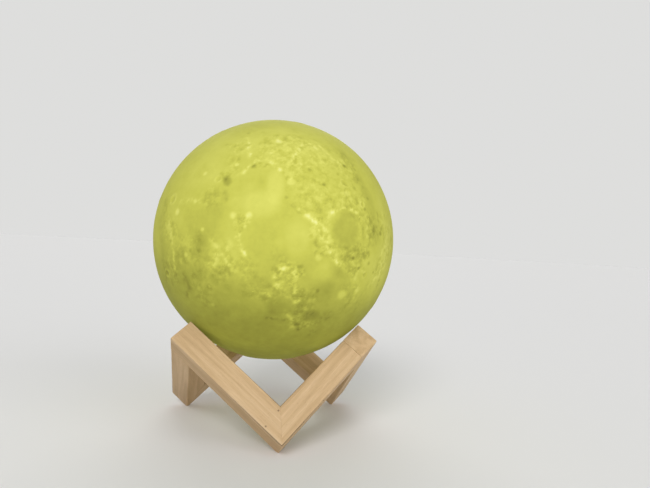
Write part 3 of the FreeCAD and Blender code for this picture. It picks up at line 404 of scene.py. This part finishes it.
def globe_directions():
    """Unit directions of the mesh rows, from the rim of the opening to just under the top."""
    lowest = -math.acos(OPENING_RADIUS / GLOBE_RADIUS)
    latitudes = np.linspace(lowest, math.pi / 2, RINGS + 1)[:-1]
    longitudes = np.arange(COLUMNS) * 2 * math.pi / COLUMNS
    lat, lon = np.meshgrid(latitudes, longitudes, indexing="ij")
    rows = np.stack((np.cos(lat) * np.sin(lon), -np.cos(lat) * np.cos(lon), np.sin(lat)), -1)
    return np.vstack((rows.reshape(-1, 3), (0.0, 0.0, 1.0)))


def fractal_field(directions, scale, seed):
    """Fractal noise over the globe, about -1 to 1."""
    offset = Vector((seed * 17.3, seed * 5.1, seed * 9.7))
    values = [
        noise.fractal(Vector(direction) * scale + offset, 0.7, 2.1, NOISE_OCTAVES)
        for direction in directions
    ]
    return np.array(values)


def angle_from(directions, centre):
    """Degrees between each direction and a place."""
    return np.degrees(np.arccos(np.clip(directions @ centre, -1, 1)))


def angle_from_line(directions, places):
    """Degrees, by the chord, between each direction and the nearest point of a line of places."""
    nearest = np.full(len(directions), 180.0)
    for start, end in zip(places, places[1:]):
        first = on_globe(*start)
        run = on_globe(*end) - first
        share = np.clip((directions - first) @ run / (run @ run), 0, 1)
        away = np.linalg.norm(directions - first - share[:, None] * run, axis=1)
        nearest = np.minimum(nearest, np.degrees(away))
    return nearest


def smooth_step(values, low, high):
    part = np.clip((values - low) / (high - low), 0, 1)
    return part * part * (3 - 2 * part)


def bell(values):
    return np.exp(-values ** 2)


def bowl_and_lip(away, floor_end, lip_foot, crest, lip_width):
    """Depth of a crater's bowl and height of its lip, 0 to 1, by the distance in its radii."""
    return 1 - smooth_step(away, floor_end, lip_foot), bell((away - crest) / lip_width)


def roughness_and_shade(directions, coarse, warped, fine):
    """How rough each direction is, and the brightness that its plains and patches add, painted
    shade among the patches.
    """
    back = smooth_step(-directions @ on_globe(PHOTO_SIDE, 0), -0.45, 0.1)
    rough = BACK_ROUGHNESS * back * smooth_step(coarse, -0.5, 0.3)
    for longitude, latitude, reach, strength in UPLANDS:
        away = angle_from(directions, on_globe(longitude, latitude))
        inside = 1 - smooth_step(away + 4 * warped, 0.4 * reach, reach)
        rough = np.maximum(rough, strength * inside)
    shade = np.zeros(len(directions))
    for longitude, latitude, half_width, half_height, glow in PLAINS:
        centre = on_globe(longitude, latitude)
        east = on_globe(longitude + 90, 0)
        north = np.cross(centre, east)
        sideways = directions @ east / math.sin(math.radians(half_width))
        upward = directions @ north / math.sin(math.radians(half_height))
        away = np.hypot(sideways, upward) + 0.14 * warped + 0.05 * fine
        away[directions @ centre < 0] = 2
        rough = rough * smooth_step(away, *PLAIN_EDGE)
        shade = shade + glow * (1 - smooth_step(away, *PLAIN_FADE))
    # patches, some of them painted shade at the sides and a painted shadow by the stand's batten
    for longitude, latitude, reach, glow in PATCHES_AND_PAINTED_SHADE:
        shade = shade + glow * bell(angle_from(directions, on_globe(longitude, latitude)) / reach)
    for width, glow, *places in BANDS:
        shade = shade + glow * bell(angle_from_line(directions, places) / width + 0.2 * warped)
    return rough, shade


def add_lines(directions, middle, fine, height, tone):
    """Bright ridges and dark rilles, added to the height and the brightness in place."""
    for width, glow, *places in LINES:
        near = np.nonzero(directions @ on_globe(*places[0]) > LINE_SIDE)[0]
        away = angle_from_line(directions[near], places) / width + 0.35 * middle[near]
        patchy = np.clip(0.75 + 1.8 * fine[near] + 0.9 * middle[near], 0, 1.8)
        mark = bell(np.clip(away, 0, None)) * patchy
        height[near] -= LINE_CUT * glow * mark
        tone[near] += (BRIGHT_LINE_TONE if glow > 0 else DARK_LINE_TONE) * glow * mark


def add_scattered_craters(directions, rough, fine, height, tone):
    """Small craters at random places, kept where they lie in rough land."""
    chance = random.Random(CRATER_SEED)
    smallest, largest = SCATTER_RANGE
    for number in range(SCATTERED_CRATERS):
        centre = np.array([chance.gauss(0, 1) for axis in range(3)])
        centre = centre / np.linalg.norm(centre)
        reach = smallest + (largest - smallest) * chance.random() ** SCATTER_POWER
        if centre @ on_globe(PHOTO_SIDE, 0) < -0.1:
            reach = BACK_GROWTH * reach
        glow = chance.uniform(-0.5, 1.0)
        near = np.nonzero(directions @ centre > math.cos(math.radians(2.2 * reach)))[0]
        if not len(near) or rough[near].min() < 0.2:
            continue
        away = angle_from(directions[near], centre) / reach + 0.2 * fine[near]
        bowl, lip = bowl_and_lip(away, *SCATTER_PROFILE)
        height[near] += (SCATTER_LIP * lip - SCATTER_BOWL * bowl) * reach ** 0.6
        tone[near] += 0.12 * glow * bowl - 0.04 * lip * glow


def add_ring_craters(directions, fine, height, tone):
    """Craters with a raised edge, at their own places."""
    for longitude, latitude, reach in RING_CRATERS:
        away = angle_from(directions, on_globe(longitude, latitude)) / reach + 0.12 * fine
        bowl, lip = bowl_and_lip(away, *RING_PROFILE)
        height += RING_LIP * lip - RING_BOWL * bowl
        tone += 0.07 * lip * (1 + 2 * fine) - 0.05 * bowl


def add_marks(directions, middle, height, tone):
    """Small round spots, lighter or darker."""
    for longitude, latitude, reach, glow in MARKS:
        away = angle_from(directions, on_globe(longitude, latitude)) + 0.3 * reach * middle
        spot = np.exp(-(away / reach) ** 4)
        height -= MARK_CUT * glow * spot
        tone += MARK_TONE * glow * spot


def relief_and_tone(directions):
    """For each direction: height in metres (0 is the true radius), brightness and roughness."""
    coarse = fractal_field(directions, *COARSE_NOISE)
    middle = fractal_field(directions, *MIDDLE_NOISE)
    fine = fractal_field(directions, *FINE_NOISE)
    warped = 1.6 * coarse + 0.9 * middle
    rough, shade = roughness_and_shade(directions, coarse, warped, fine)

    height = -MEAN_SINK + SWELL * coarse + UPLAND_RELIEF * rough * (middle + fine)
    tone = MEAN_TONE + 0.05 * coarse + 0.03 * middle + shade
    flakes = smooth_step(fine, 0.05, 0.14) - 0.15 * smooth_step(-fine, 0.15, 0.4)
    tone = tone + rough * (0.10 * middle + 0.07 * fine + 0.08 * flakes - 0.01)

    add_lines(directions, middle, fine, height, tone)
    add_scattered_craters(directions, rough, fine, height, tone)
    add_ring_craters(directions, fine, height, tone)
    add_marks(directions, middle, height, tone)
    return np.clip(height, -RELIEF_DEPTH, 0), np.clip(tone, 0, 1), np.clip(rough, 0, 1)


def globe_mesh():
    """Carved globe with the wall of its opening; its tone layer holds brightness and roughness."""
    directions = globe_directions()
    height, tone, rough = relief_and_tone(directions)
    row = np.arange(len(directions)) // COLUMNS
    height = height * np.clip(row / RIM_ROWS, 0, 1)
    points = directions * (GLOBE_RADIUS + height)[:, None] + np.array(GLOBE_CENTRE)
    top = RINGS * COLUMNS
    last_row = top - COLUMNS
    faces = []
    for start in range(0, last_row, COLUMNS):
        above = start + COLUMNS
        for column in range(COLUMNS):
            beside = (column + 1) % COLUMNS
            faces.append((start + column, start + beside, above + beside, above + column))
    for column in range(COLUMNS):
        faces.append((last_row + column, last_row + (column + 1) % COLUMNS, top))
    wall = len(points)
    points = np.vstack((points, points[:COLUMNS] + np.array((0, 0, WALL_DEPTH))))
    for column in range(COLUMNS):
        beside = (column + 1) % COLUMNS
        faces.append((wall + column, wall + beside, beside, column))
    mesh = bpy.data.meshes.new("moon_globe")
    mesh.from_pydata(points.tolist(), [], faces)
    layer = mesh.color_attributes.new("tone", "FLOAT_COLOR", "POINT")
    colours = np.zeros((len(points), 4), dtype=np.float32)
    colours[:, 0] = np.concatenate((tone, tone[:COLUMNS]))
    colours[:, 1] = np.concatenate((rough, rough[:COLUMNS]))
    colours[:, 3] = 1
    layer.data.foreach_set("color", colours.ravel())
    return mesh


GLOW_STRENGTH = 0.545
PRINT_GRAIN = 330               # waves per metre
GRAIN_DEPTH = 0.15 * MM
GRAIN_ON_PLAINS = 0.10          # how far the grain changes the tone
GRAIN_ON_UPLANDS = 0.45         # added to it where the globe is rough
DIM_LEVEL = GLOBE_CENTRE.z - 0.68 * GLOBE_RADIUS
FULL_LEVEL = GLOBE_CENTRE.z + 0.10 * GLOBE_RADIUS
DIM_TONE = -0.275
FULL_TONE = 0.02
TONE_COLOURS = (
    (0.0, (0.20, 0.195, 0.030)),
    (0.25, (0.40, 0.40, 0.062)),
    (0.5, (0.635, 0.635, 0.108)),
    (0.75, (0.80, 0.795, 0.18)),
    (1.0, (0.93, 0.93, 0.36)),
)
UNLIT_TINT = (0.55, 0.55, 0.47, 1)


def globe_material():
    """Printed plastic lit through: brightness follows the relief, with fine mottling."""
    material, tree, shader = new_material("lit_print")
    relief = tree.nodes.new("ShaderNodeVertexColor")
    relief.layer_name = "tone"
    parts = add_node(tree, "SeparateColor", Color=relief.outputs["Color"])
    place = object_place(tree)
    grain = add_node(
        tree, "TexNoise", Vector=place, Scale=PRINT_GRAIN, Detail=4, Roughness=0.68,
    ).outputs["Fac"]
    # dimmer towards the bottom, where less of the inner light reaches
    level = add_node(tree, "SeparateXYZ", Vector=place).outputs["Z"]
    lower = remapped(tree, level, DIM_LEVEL, FULL_LEVEL, DIM_TONE, FULL_TONE, smooth=True)
    mottle = maths(tree, "SUBTRACT", grain, 0.5)
    rough = parts.outputs["Green"]
    amount = maths(tree, "MULTIPLY_ADD", rough, GRAIN_ON_UPLANDS, GRAIN_ON_PLAINS)
    speck = maths(tree, "MULTIPLY", mottle, amount)
    tone = maths(tree, "ADD", maths(tree, "ADD", parts.outputs["Red"], speck), lower)
    colour = ramp(tree, tone, TONE_COLOURS)
    set_inputs(
        tree, shader,
        Base_Color=mixed(tree, 1.0, colour, UNLIT_TINT, multiply=True),
        Emission_Color=colour,
        Emission_Strength=GLOW_STRENGTH,
        Roughness=0.7,
        Specular_IOR_Level=0.18,
        # frosted outer skin: light that leaves at a slant crosses more of it
        Coat_Weight=1.0,
        Coat_Roughness=0.65,
        Coat_IOR=1.05,
        Coat_Tint=(0.87, 0.87, 0.86, 1),
    )
    add_bump(tree, shader, grain, strength=0.25, distance=GRAIN_DEPTH)
    return material


def add_globe():
    globe = add_object("moon_globe", globe_mesh(), globe_material())
    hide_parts("moon_shell")
    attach(globe, "globe")


add_globe()

# ---------------------------------------------------------------- stand

SIDES = ("front", "right", "left")
FIRST_ANGLE = -90.0             # degrees from +X, where the front V faces
SIDE_TURN = 120.0               # degrees from one V to the next
LONG_EDGE_ROUND = 0.7 * MM
END_EDGE_ROUND = 0.35 * MM
MITRE_EDGE_ROUND = 0.12 * MM
X_AXIS, Y_AXIS = 0, 1           # in the axes of a V


def cube_edge(side):
    """Direction of one of the three cube edges that rise from the cube's lowest corner."""
    angle = math.radians(FIRST_ANGLE + SIDE_TURN * (side % 3))
    reach = math.sqrt(2 / 3)
    return Vector((reach * math.cos(angle), reach * math.sin(angle), 1 / math.sqrt(3)))


def v_matrix(side):
    """Short batten along X, long batten along Y, outside of the lamp along Z."""
    turn = Matrix((cube_edge(side + 1), cube_edge(side + 2), cube_edge(side))).transposed()
    return Matrix.Translation((0, 0, -FRAME_DROP)) @ turn.to_4x4()


# small knocks in the front battens: places in the axes of the V, in metres
DENTS = {
    "front_long_batten": ((12.4 * MM, 14.1 * MM, FRAME_EDGE), (1.6 * MM, 13.2 * MM, FRAME_EDGE)),
    "front_short_batten": ((17.5 * MM, 0.2 * MM, 84.4 * MM), (34 * MM, 0.2 * MM, 84.3 * MM)),
}
DENT_RADIUS = 0.7 * MM
DENT_COLOUR = (0.16, 0.09, 0.04, 1)
DENT_SHARE = 0.8                # of its colour in the middle of a dent

# waves per metre along and across the grain
BAND_WAVES = (14, 230)
FIBRE_WAVES = (110, 2200)
FLECK_WAVES = (260, 1500)
BAND_COLOURS = (
    (0.30, (0.50, 0.335, 0.17)),
    (0.50, (0.61, 0.42, 0.23)),
    (0.70, (0.69, 0.50, 0.295)),
)
FIBRE_COLOURS = ((0.3, (0.70, 0.66, 0.60)), (0.62, (1.0, 1.0, 1.0)))
FIBRE_SHARE = 0.55
FIBRE_DEPTH = 0.08 * MM
FLECK_COLOUR = (0.36, 0.20, 0.09, 1)
FLECK_EDGE = (0.02, 0.20)       # where a fleck starts to fade and where it ends
FLECK_SHARE = 0.55              # of its colour in the middle of a fleck
WOOD_ROUGHNESS = (0.50, 0.72)


def wood_material(name, grain_axis, seed, dents):
    """Sanded beech: long fibres, a few growth bands and short dark flecks along the grain."""
    material, tree, shader = new_material(name)
    place = object_place(tree)
    start = (0.31 * seed, 0.17 * seed, 0.23 * seed)
    turned = add_node(tree, "Mapping", Vector=place, Location=start)
    if grain_axis == Y_AXIS:
        set_inputs(tree, turned, Rotation=(0, 0, math.radians(-90)))

    def stretched(along, across):
        scale = (along, across, across)
        node = add_node(tree, "Mapping", Vector=turned.outputs["Vector"], Scale=scale)
        return node.outputs["Vector"]

    bands = add_node(
        tree, "TexNoise", Vector=stretched(*BAND_WAVES), Scale=1, Detail=5, Distortion=0.6,
    )
    fibres = add_node(
        tree, "TexNoise", Vector=stretched(*FIBRE_WAVES), Scale=1, Detail=6, Roughness=0.7,
    ).outputs["Fac"]
    flecks = add_node(tree, "TexVoronoi", Vector=stretched(*FLECK_WAVES), Scale=1)
    colour = mixed(
        tree, FIBRE_SHARE,
        ramp(tree, bands.outputs["Fac"], BAND_COLOURS),
        ramp(tree, fibres, FIBRE_COLOURS),
        multiply=True,
    )
    fleck = remapped(tree, flecks.outputs["Distance"], *FLECK_EDGE, FLECK_SHARE, 0.0)
    colour = mixed(tree, fleck, colour, FLECK_COLOUR)
    for dent in dents:
        away = tree.nodes.new("ShaderNodeVectorMath")
        away.operation = "DISTANCE"
        feed(tree, away.inputs[0], place)
        feed(tree, away.inputs[1], dent)
        mark = remapped(
            tree, away.outputs["Value"], 0.4 * DENT_RADIUS, DENT_RADIUS, DENT_SHARE, 0.0,
        )
        colour = mixed(tree, mark, colour, DENT_COLOUR)
    set_inputs(
        tree, shader,
        Base_Color=colour,
        Roughness=remapped(tree, fibres, 0, 1, *WOOD_ROUGHNESS),
        Specular_IOR_Level=0.35,
    )
    add_bump(tree, shader, fibres, strength=0.35, distance=FIBRE_DEPTH)
    return material


def bevel(shape, edges, width, segments):
    bmesh.ops.bevel(
        shape, geom=edges, offset=width, segments=segments, profile=0.5, affect="EDGES",
    )


def batten_mesh(name, outline, long_axis):
    """Mitred batten with sanded edges, in the axes of its V."""
    shape = bmesh.new()
    low = [shape.verts.new((x, y, FRAME_EDGE - BATTEN)) for x, y in outline]
    high = [shape.verts.new((x, y, FRAME_EDGE)) for x, y in outline]
    shape.faces.new(reversed(low))
    shape.faces.new(high)
    for corner in range(4):
        following = (corner + 1) % 4
        shape.faces.new((low[corner], low[following], high[following], high[corner]))
    shape.normal_update()
    far = max(vertex.co[long_axis] for vertex in shape.verts)

    def is_long(edge):
        run = edge.verts[1].co - edge.verts[0].co
        return abs(abs(run[long_axis]) - run.length) < 1e-9

    def is_end(edge):
        return all(abs(vertex.co[long_axis] - far) < 1e-9 for vertex in edge.verts)

    def is_mitre(edge):
        slanted = all(abs(vertex.co.x - vertex.co.y) < 1e-6 for vertex in edge.verts)
        return slanted and edge.calc_length() > BATTEN

    bevel(shape, [edge for edge in shape.edges if is_long(edge)], LONG_EDGE_ROUND, 4)
    bevel(shape, [edge for edge in shape.edges if is_end(edge)], END_EDGE_ROUND, 2)
    bevel(shape, [edge for edge in shape.edges if is_mitre(edge)], MITRE_EDGE_ROUND, 1)
    # sand the foot flat, level with the floor
    upward = Vector((1, 1, 1)).normalized()
    cut = bmesh.ops.bisect_plane(
        shape,
        geom=shape.verts[:] + shape.edges[:] + shape.faces[:],
        plane_co=upward * FRAME_DROP,
        plane_no=upward,
        clear_inner=True,
    )
    cut_edges = [item for item in cut["geom_cut"] if isinstance(item, bmesh.types.BMEdge)]
    if cut_edges:
        bmesh.ops.holes_fill(shape, edges=cut_edges, sides=0)
    bmesh.ops.recalc_face_normals(shape, faces=shape.faces)
    mesh = bpy.data.meshes.new(name)
    shape.to_mesh(mesh)
    shape.free()
    return mesh


def add_batten(side, kind, outline, long_axis):
    name = f"{SIDES[side]}_{kind}"
    seed = 3 * long_axis + side + 1
    material = wood_material(f"beech_{name}", long_axis, seed, DENTS.get(name, ()))
    piece = add_object(f"{name}_wood", batten_mesh(name, outline, long_axis), material)
    piece.matrix_world = v_matrix(side)
    normals = piece.modifiers.new("normals", "WEIGHTED_NORMAL")
    normals.keep_sharp = True
    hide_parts(name)
    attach(piece, "stand")


# seen from outside, with the mitre from the corner of the V inwards
LONG_OUTLINE = ((0, 0), (BATTEN, BATTEN), (BATTEN, FRAME_EDGE), (0, FRAME_EDGE))
SHORT_LENGTH = FRAME_EDGE - BATTEN
SHORT_OUTLINE = ((0, 0), (SHORT_LENGTH, 0), (SHORT_LENGTH, BATTEN), (BATTEN, BATTEN))

for side in range(len(SIDES)):
    add_batten(side, "long_batten", LONG_OUTLINE, Y_AXIS)
    add_batten(side, "short_batten", SHORT_OUTLINE, X_AXIS)

# ---------------------------------------------------------------- light unit and inner parts

CLOUD_SHARE = 0.08              # scale of the cloudiness, as a share of the fine texture's
GLOSS_SPREAD = 0.08
TEXTURE_DEPTH = 0.05 * MM


def moulded_material(name, colour, roughness, mottle, scale, bump, metallic=0.0):
    """Moulded or rolled surface: slight cloudiness, fine texture and uneven gloss."""
    material, tree, shader = new_material(name)
    place = object_place(tree)
    cloud = add_node(tree, "TexNoise", Vector=place, Scale=scale * CLOUD_SHARE, Detail=3)
    fine = add_node(tree, "TexNoise", Vector=place, Scale=scale, Detail=5).outputs["Fac"]
    dark = tuple(part * (1 - mottle) for part in colour)
    light = tuple(min(1.0, part * (1 + mottle)) for part in colour)
    least = max(0.05, roughness - GLOSS_SPREAD)
    most = min(1.0, roughness + GLOSS_SPREAD)
    set_inputs(
        tree, shader,
        Base_Color=ramp(tree, cloud.outputs["Fac"], ((0.3, dark), (0.7, light))),
        Roughness=remapped(tree, fine, 0, 1, least, most),
        Metallic=metallic,
    )
    add_bump(tree, shader, fine, strength=bump, distance=TEXTURE_DEPTH)
    return material


# for each slot: name, colour, roughness, mottle, waves per metre, bump strength, metallic
FINISHES = {
    slot: moulded_material(*looks) for slot, looks in {
        "wood_dowel": ("birch_dowel", (0.62, 0.44, 0.25), 0.6, 0.12, 700, 0.2),
        "ring_chrome": ("chrome_ring", (0.78, 0.79, 0.80), 0.16, 0.02, 1500, 0.02, 1.0),
        "white_plastic": ("white_plastic", (0.78, 0.78, 0.74), 0.42, 0.03, 1400, 0.06),
        "button_plastic": ("button_plastic", (0.70, 0.71, 0.70), 0.34, 0.03, 1400, 0.05),
        "black_plastic": ("black_plastic", (0.022, 0.022, 0.024), 0.40, 0.12, 1400, 0.06),
        "pin_brass": ("brass_pin", (0.80, 0.62, 0.28), 0.28, 0.05, 1200, 0.03, 1.0),
        "screw_steel": ("screw_steel", (0.56, 0.56, 0.57), 0.30, 0.06, 1800, 0.05, 1.0),
        "board_green": ("board_green", (0.02, 0.17, 0.07), 0.38, 0.10, 900, 0.06),
        "light_pipe": ("light_pipe", (0.75, 0.74, 0.70), 0.25, 0.03, 1200, 0.03),
        "led_red": ("led_red", (0.60, 0.05, 0.04), 0.28, 0.05, 1200, 0.03),
        "wire_white": ("wire_white", (0.72, 0.72, 0.70), 0.45, 0.04, 1400, 0.05),
        "wire_red": ("wire_red", (0.55, 0.04, 0.03), 0.45, 0.05, 1400, 0.05),
        "cell_sleeve": ("cell_sleeve", (0.05, 0.22, 0.40), 0.30, 0.06, 1200, 0.04),
        "tab_nickel": ("tab_nickel", (0.66, 0.64, 0.60), 0.32, 0.06, 1600, 0.05, 1.0),
        "foam": ("foam_pad", (0.10, 0.10, 0.11), 0.9, 0.2, 2200, 0.6),
        "led_board_metal": ("led_board", (0.76, 0.76, 0.74), 0.45, 0.03, 1400, 0.05),
        "led_amber": ("led_amber", (0.85, 0.62, 0.12), 0.35, 0.05, 1400, 0.04),
    }.items()
}


def dress(node, finish):
    """Gives a carried-over CAD node its finish, in each of its material slots."""
    piece = nodes[node]
    if not piece.material_slots:
        piece.data.materials.append(finish)
    for place in piece.material_slots:
        place.material = finish


for part in frame["record"]["subparts"]:
    finish = FINISHES.get(part["material_slot"])
    if finish is not None:
        dress(part["node"], finish)

# return spring of the button, one fixed coil; in the lamp it closes up as the plunger rises
SPRING_WIRE = 0.2 * MM
SPRING_TURNS = 2.5
SPRING_STEPS = 32               # around one turn
WIRE_SIDES = 12


def spring_mesh(low, high):
    """Round wire wound in a coil that fills its box."""
    radius = (high[0] - low[0] - SPRING_WIRE) / 2
    middle = Vector(((low[0] + high[0]) / 2, (low[1] + high[1]) / 2, 0))
    foot = low[2] + SPRING_WIRE / 2
    rise = high[2] - low[2] - SPRING_WIRE
    last = round(SPRING_TURNS * SPRING_STEPS)
    points = []
    for step in range(last + 1):
        angle = 2 * math.pi * step / SPRING_STEPS
        outward = Vector((math.cos(angle), math.sin(angle), 0))
        height = foot + rise * step / last
        for side in range(WIRE_SIDES):
            turn = 2 * math.pi * side / WIRE_SIDES
            reach = radius + SPRING_WIRE / 2 * math.cos(turn)
            level = height + SPRING_WIRE / 2 * math.sin(turn)
            points.append(middle + outward * reach + Vector((0, 0, level)))
    faces = []
    for step in range(last):
        start = step * WIRE_SIDES
        above = start + WIRE_SIDES
        for side in range(WIRE_SIDES):
            beside = (side + 1) % WIRE_SIDES
            faces.append((start + side, above + side, above + beside, start + beside))
    faces.append(tuple(range(WIRE_SIDES)))
    faces.append(tuple(reversed(range(last * WIRE_SIDES, (last + 1) * WIRE_SIDES))))
    mesh = bpy.data.meshes.new("return_spring")
    mesh.from_pydata([tuple(point) for point in points], [], faces)
    return mesh


def add_spring():
    low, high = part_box("switch_spring")
    spring = add_object("return_spring", spring_mesh(low, high), FINISHES["screw_steel"])
    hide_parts("switch_spring")
    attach(spring, "globe")
    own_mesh(spring)


add_spring()

# ---------------------------------------------------------------- floor, background and light

FLOOR_COLOUR = (0.78, 0.775, 0.76)
FLOOR_REACH = 8.0
FLOOR_SIDES = 96
SKY_COLOUR = (0.97, 0.98, 1.0)
SKY_STRENGTH = 0.40
BACKGROUND = (0.73, 0.73, 0.72)    # what the lit floor renders as, so no horizon shows
# name, azimuth, elevation and softness in degrees, strength
SUNS = (
    ("key", -25, 38, 30, 1.45),
    ("fill", 40, 22, 50, 0.75),
    ("back", 175, 40, 50, 0.8),
)


def add_floor():
    """Wide pale floor."""
    shape = bmesh.new()
    bmesh.ops.create_circle(shape, cap_ends=True, segments=FLOOR_SIDES, radius=FLOOR_REACH)
    mesh = bpy.data.meshes.new("floor")
    shape.to_mesh(mesh)
    shape.free()
    material, tree, shader = new_material("floor_paint")
    set_inputs(
        tree, shader, Base_Color=(*FLOOR_COLOUR, 1), Roughness=0.9, Specular_IOR_Level=0.1,
    )
    mesh.materials.append(material)
    floor = bpy.data.objects.new("floor", mesh)
    bpy.context.scene.collection.objects.link(floor)


def add_world():
    """Soft even light from all round; the eye, metal and glass see the pale background."""
    world = bpy.data.worlds.new("studio")
    bpy.context.scene.world = world
    world.use_nodes = True
    tree = world.node_tree
    sky = next(node for node in tree.nodes if node.type == "BACKGROUND")
    output = next(node for node in tree.nodes if node.type == "OUTPUT_WORLD")
    set_inputs(tree, sky, Color=(*SKY_COLOUR, 1), Strength=SKY_STRENGTH)
    seen = add_node(tree, "Background", Color=(*BACKGROUND, 1), Strength=1.0)
    rays = add_node(tree, "LightPath").outputs
    share = rays["Is Camera Ray"]
    for ray in ("Is Glossy Ray", "Is Transmission Ray"):
        share = maths(tree, "MAXIMUM", share, rays[ray])
    chosen = tree.nodes.new("ShaderNodeMixShader")
    for socket, value in zip(
        chosen.inputs, (share, sky.outputs["Background"], seen.outputs["Background"]),
    ):
        feed(tree, socket, value)
    set_inputs(tree, output, Surface=chosen.outputs["Shader"])


def add_sun(name, azimuth, elevation, softness, strength):
    """Even light from a direction; its softness is the width that it has in the sky."""
    data = bpy.data.lights.new(name, "SUN")
    data.angle = math.radians(softness)
    data.energy = strength
    lamp = bpy.data.objects.new(name, data)
    lamp.location = direction_at(azimuth, elevation)
    lamp.rotation_euler = lamp.location.to_track_quat("Z", "Y").to_euler()
    bpy.context.scene.collection.objects.link(lamp)


add_floor()
for sun in SUNS:
    add_sun(*sun)
add_world()

bpy.context.scene.view_settings.view_transform = "Standard"
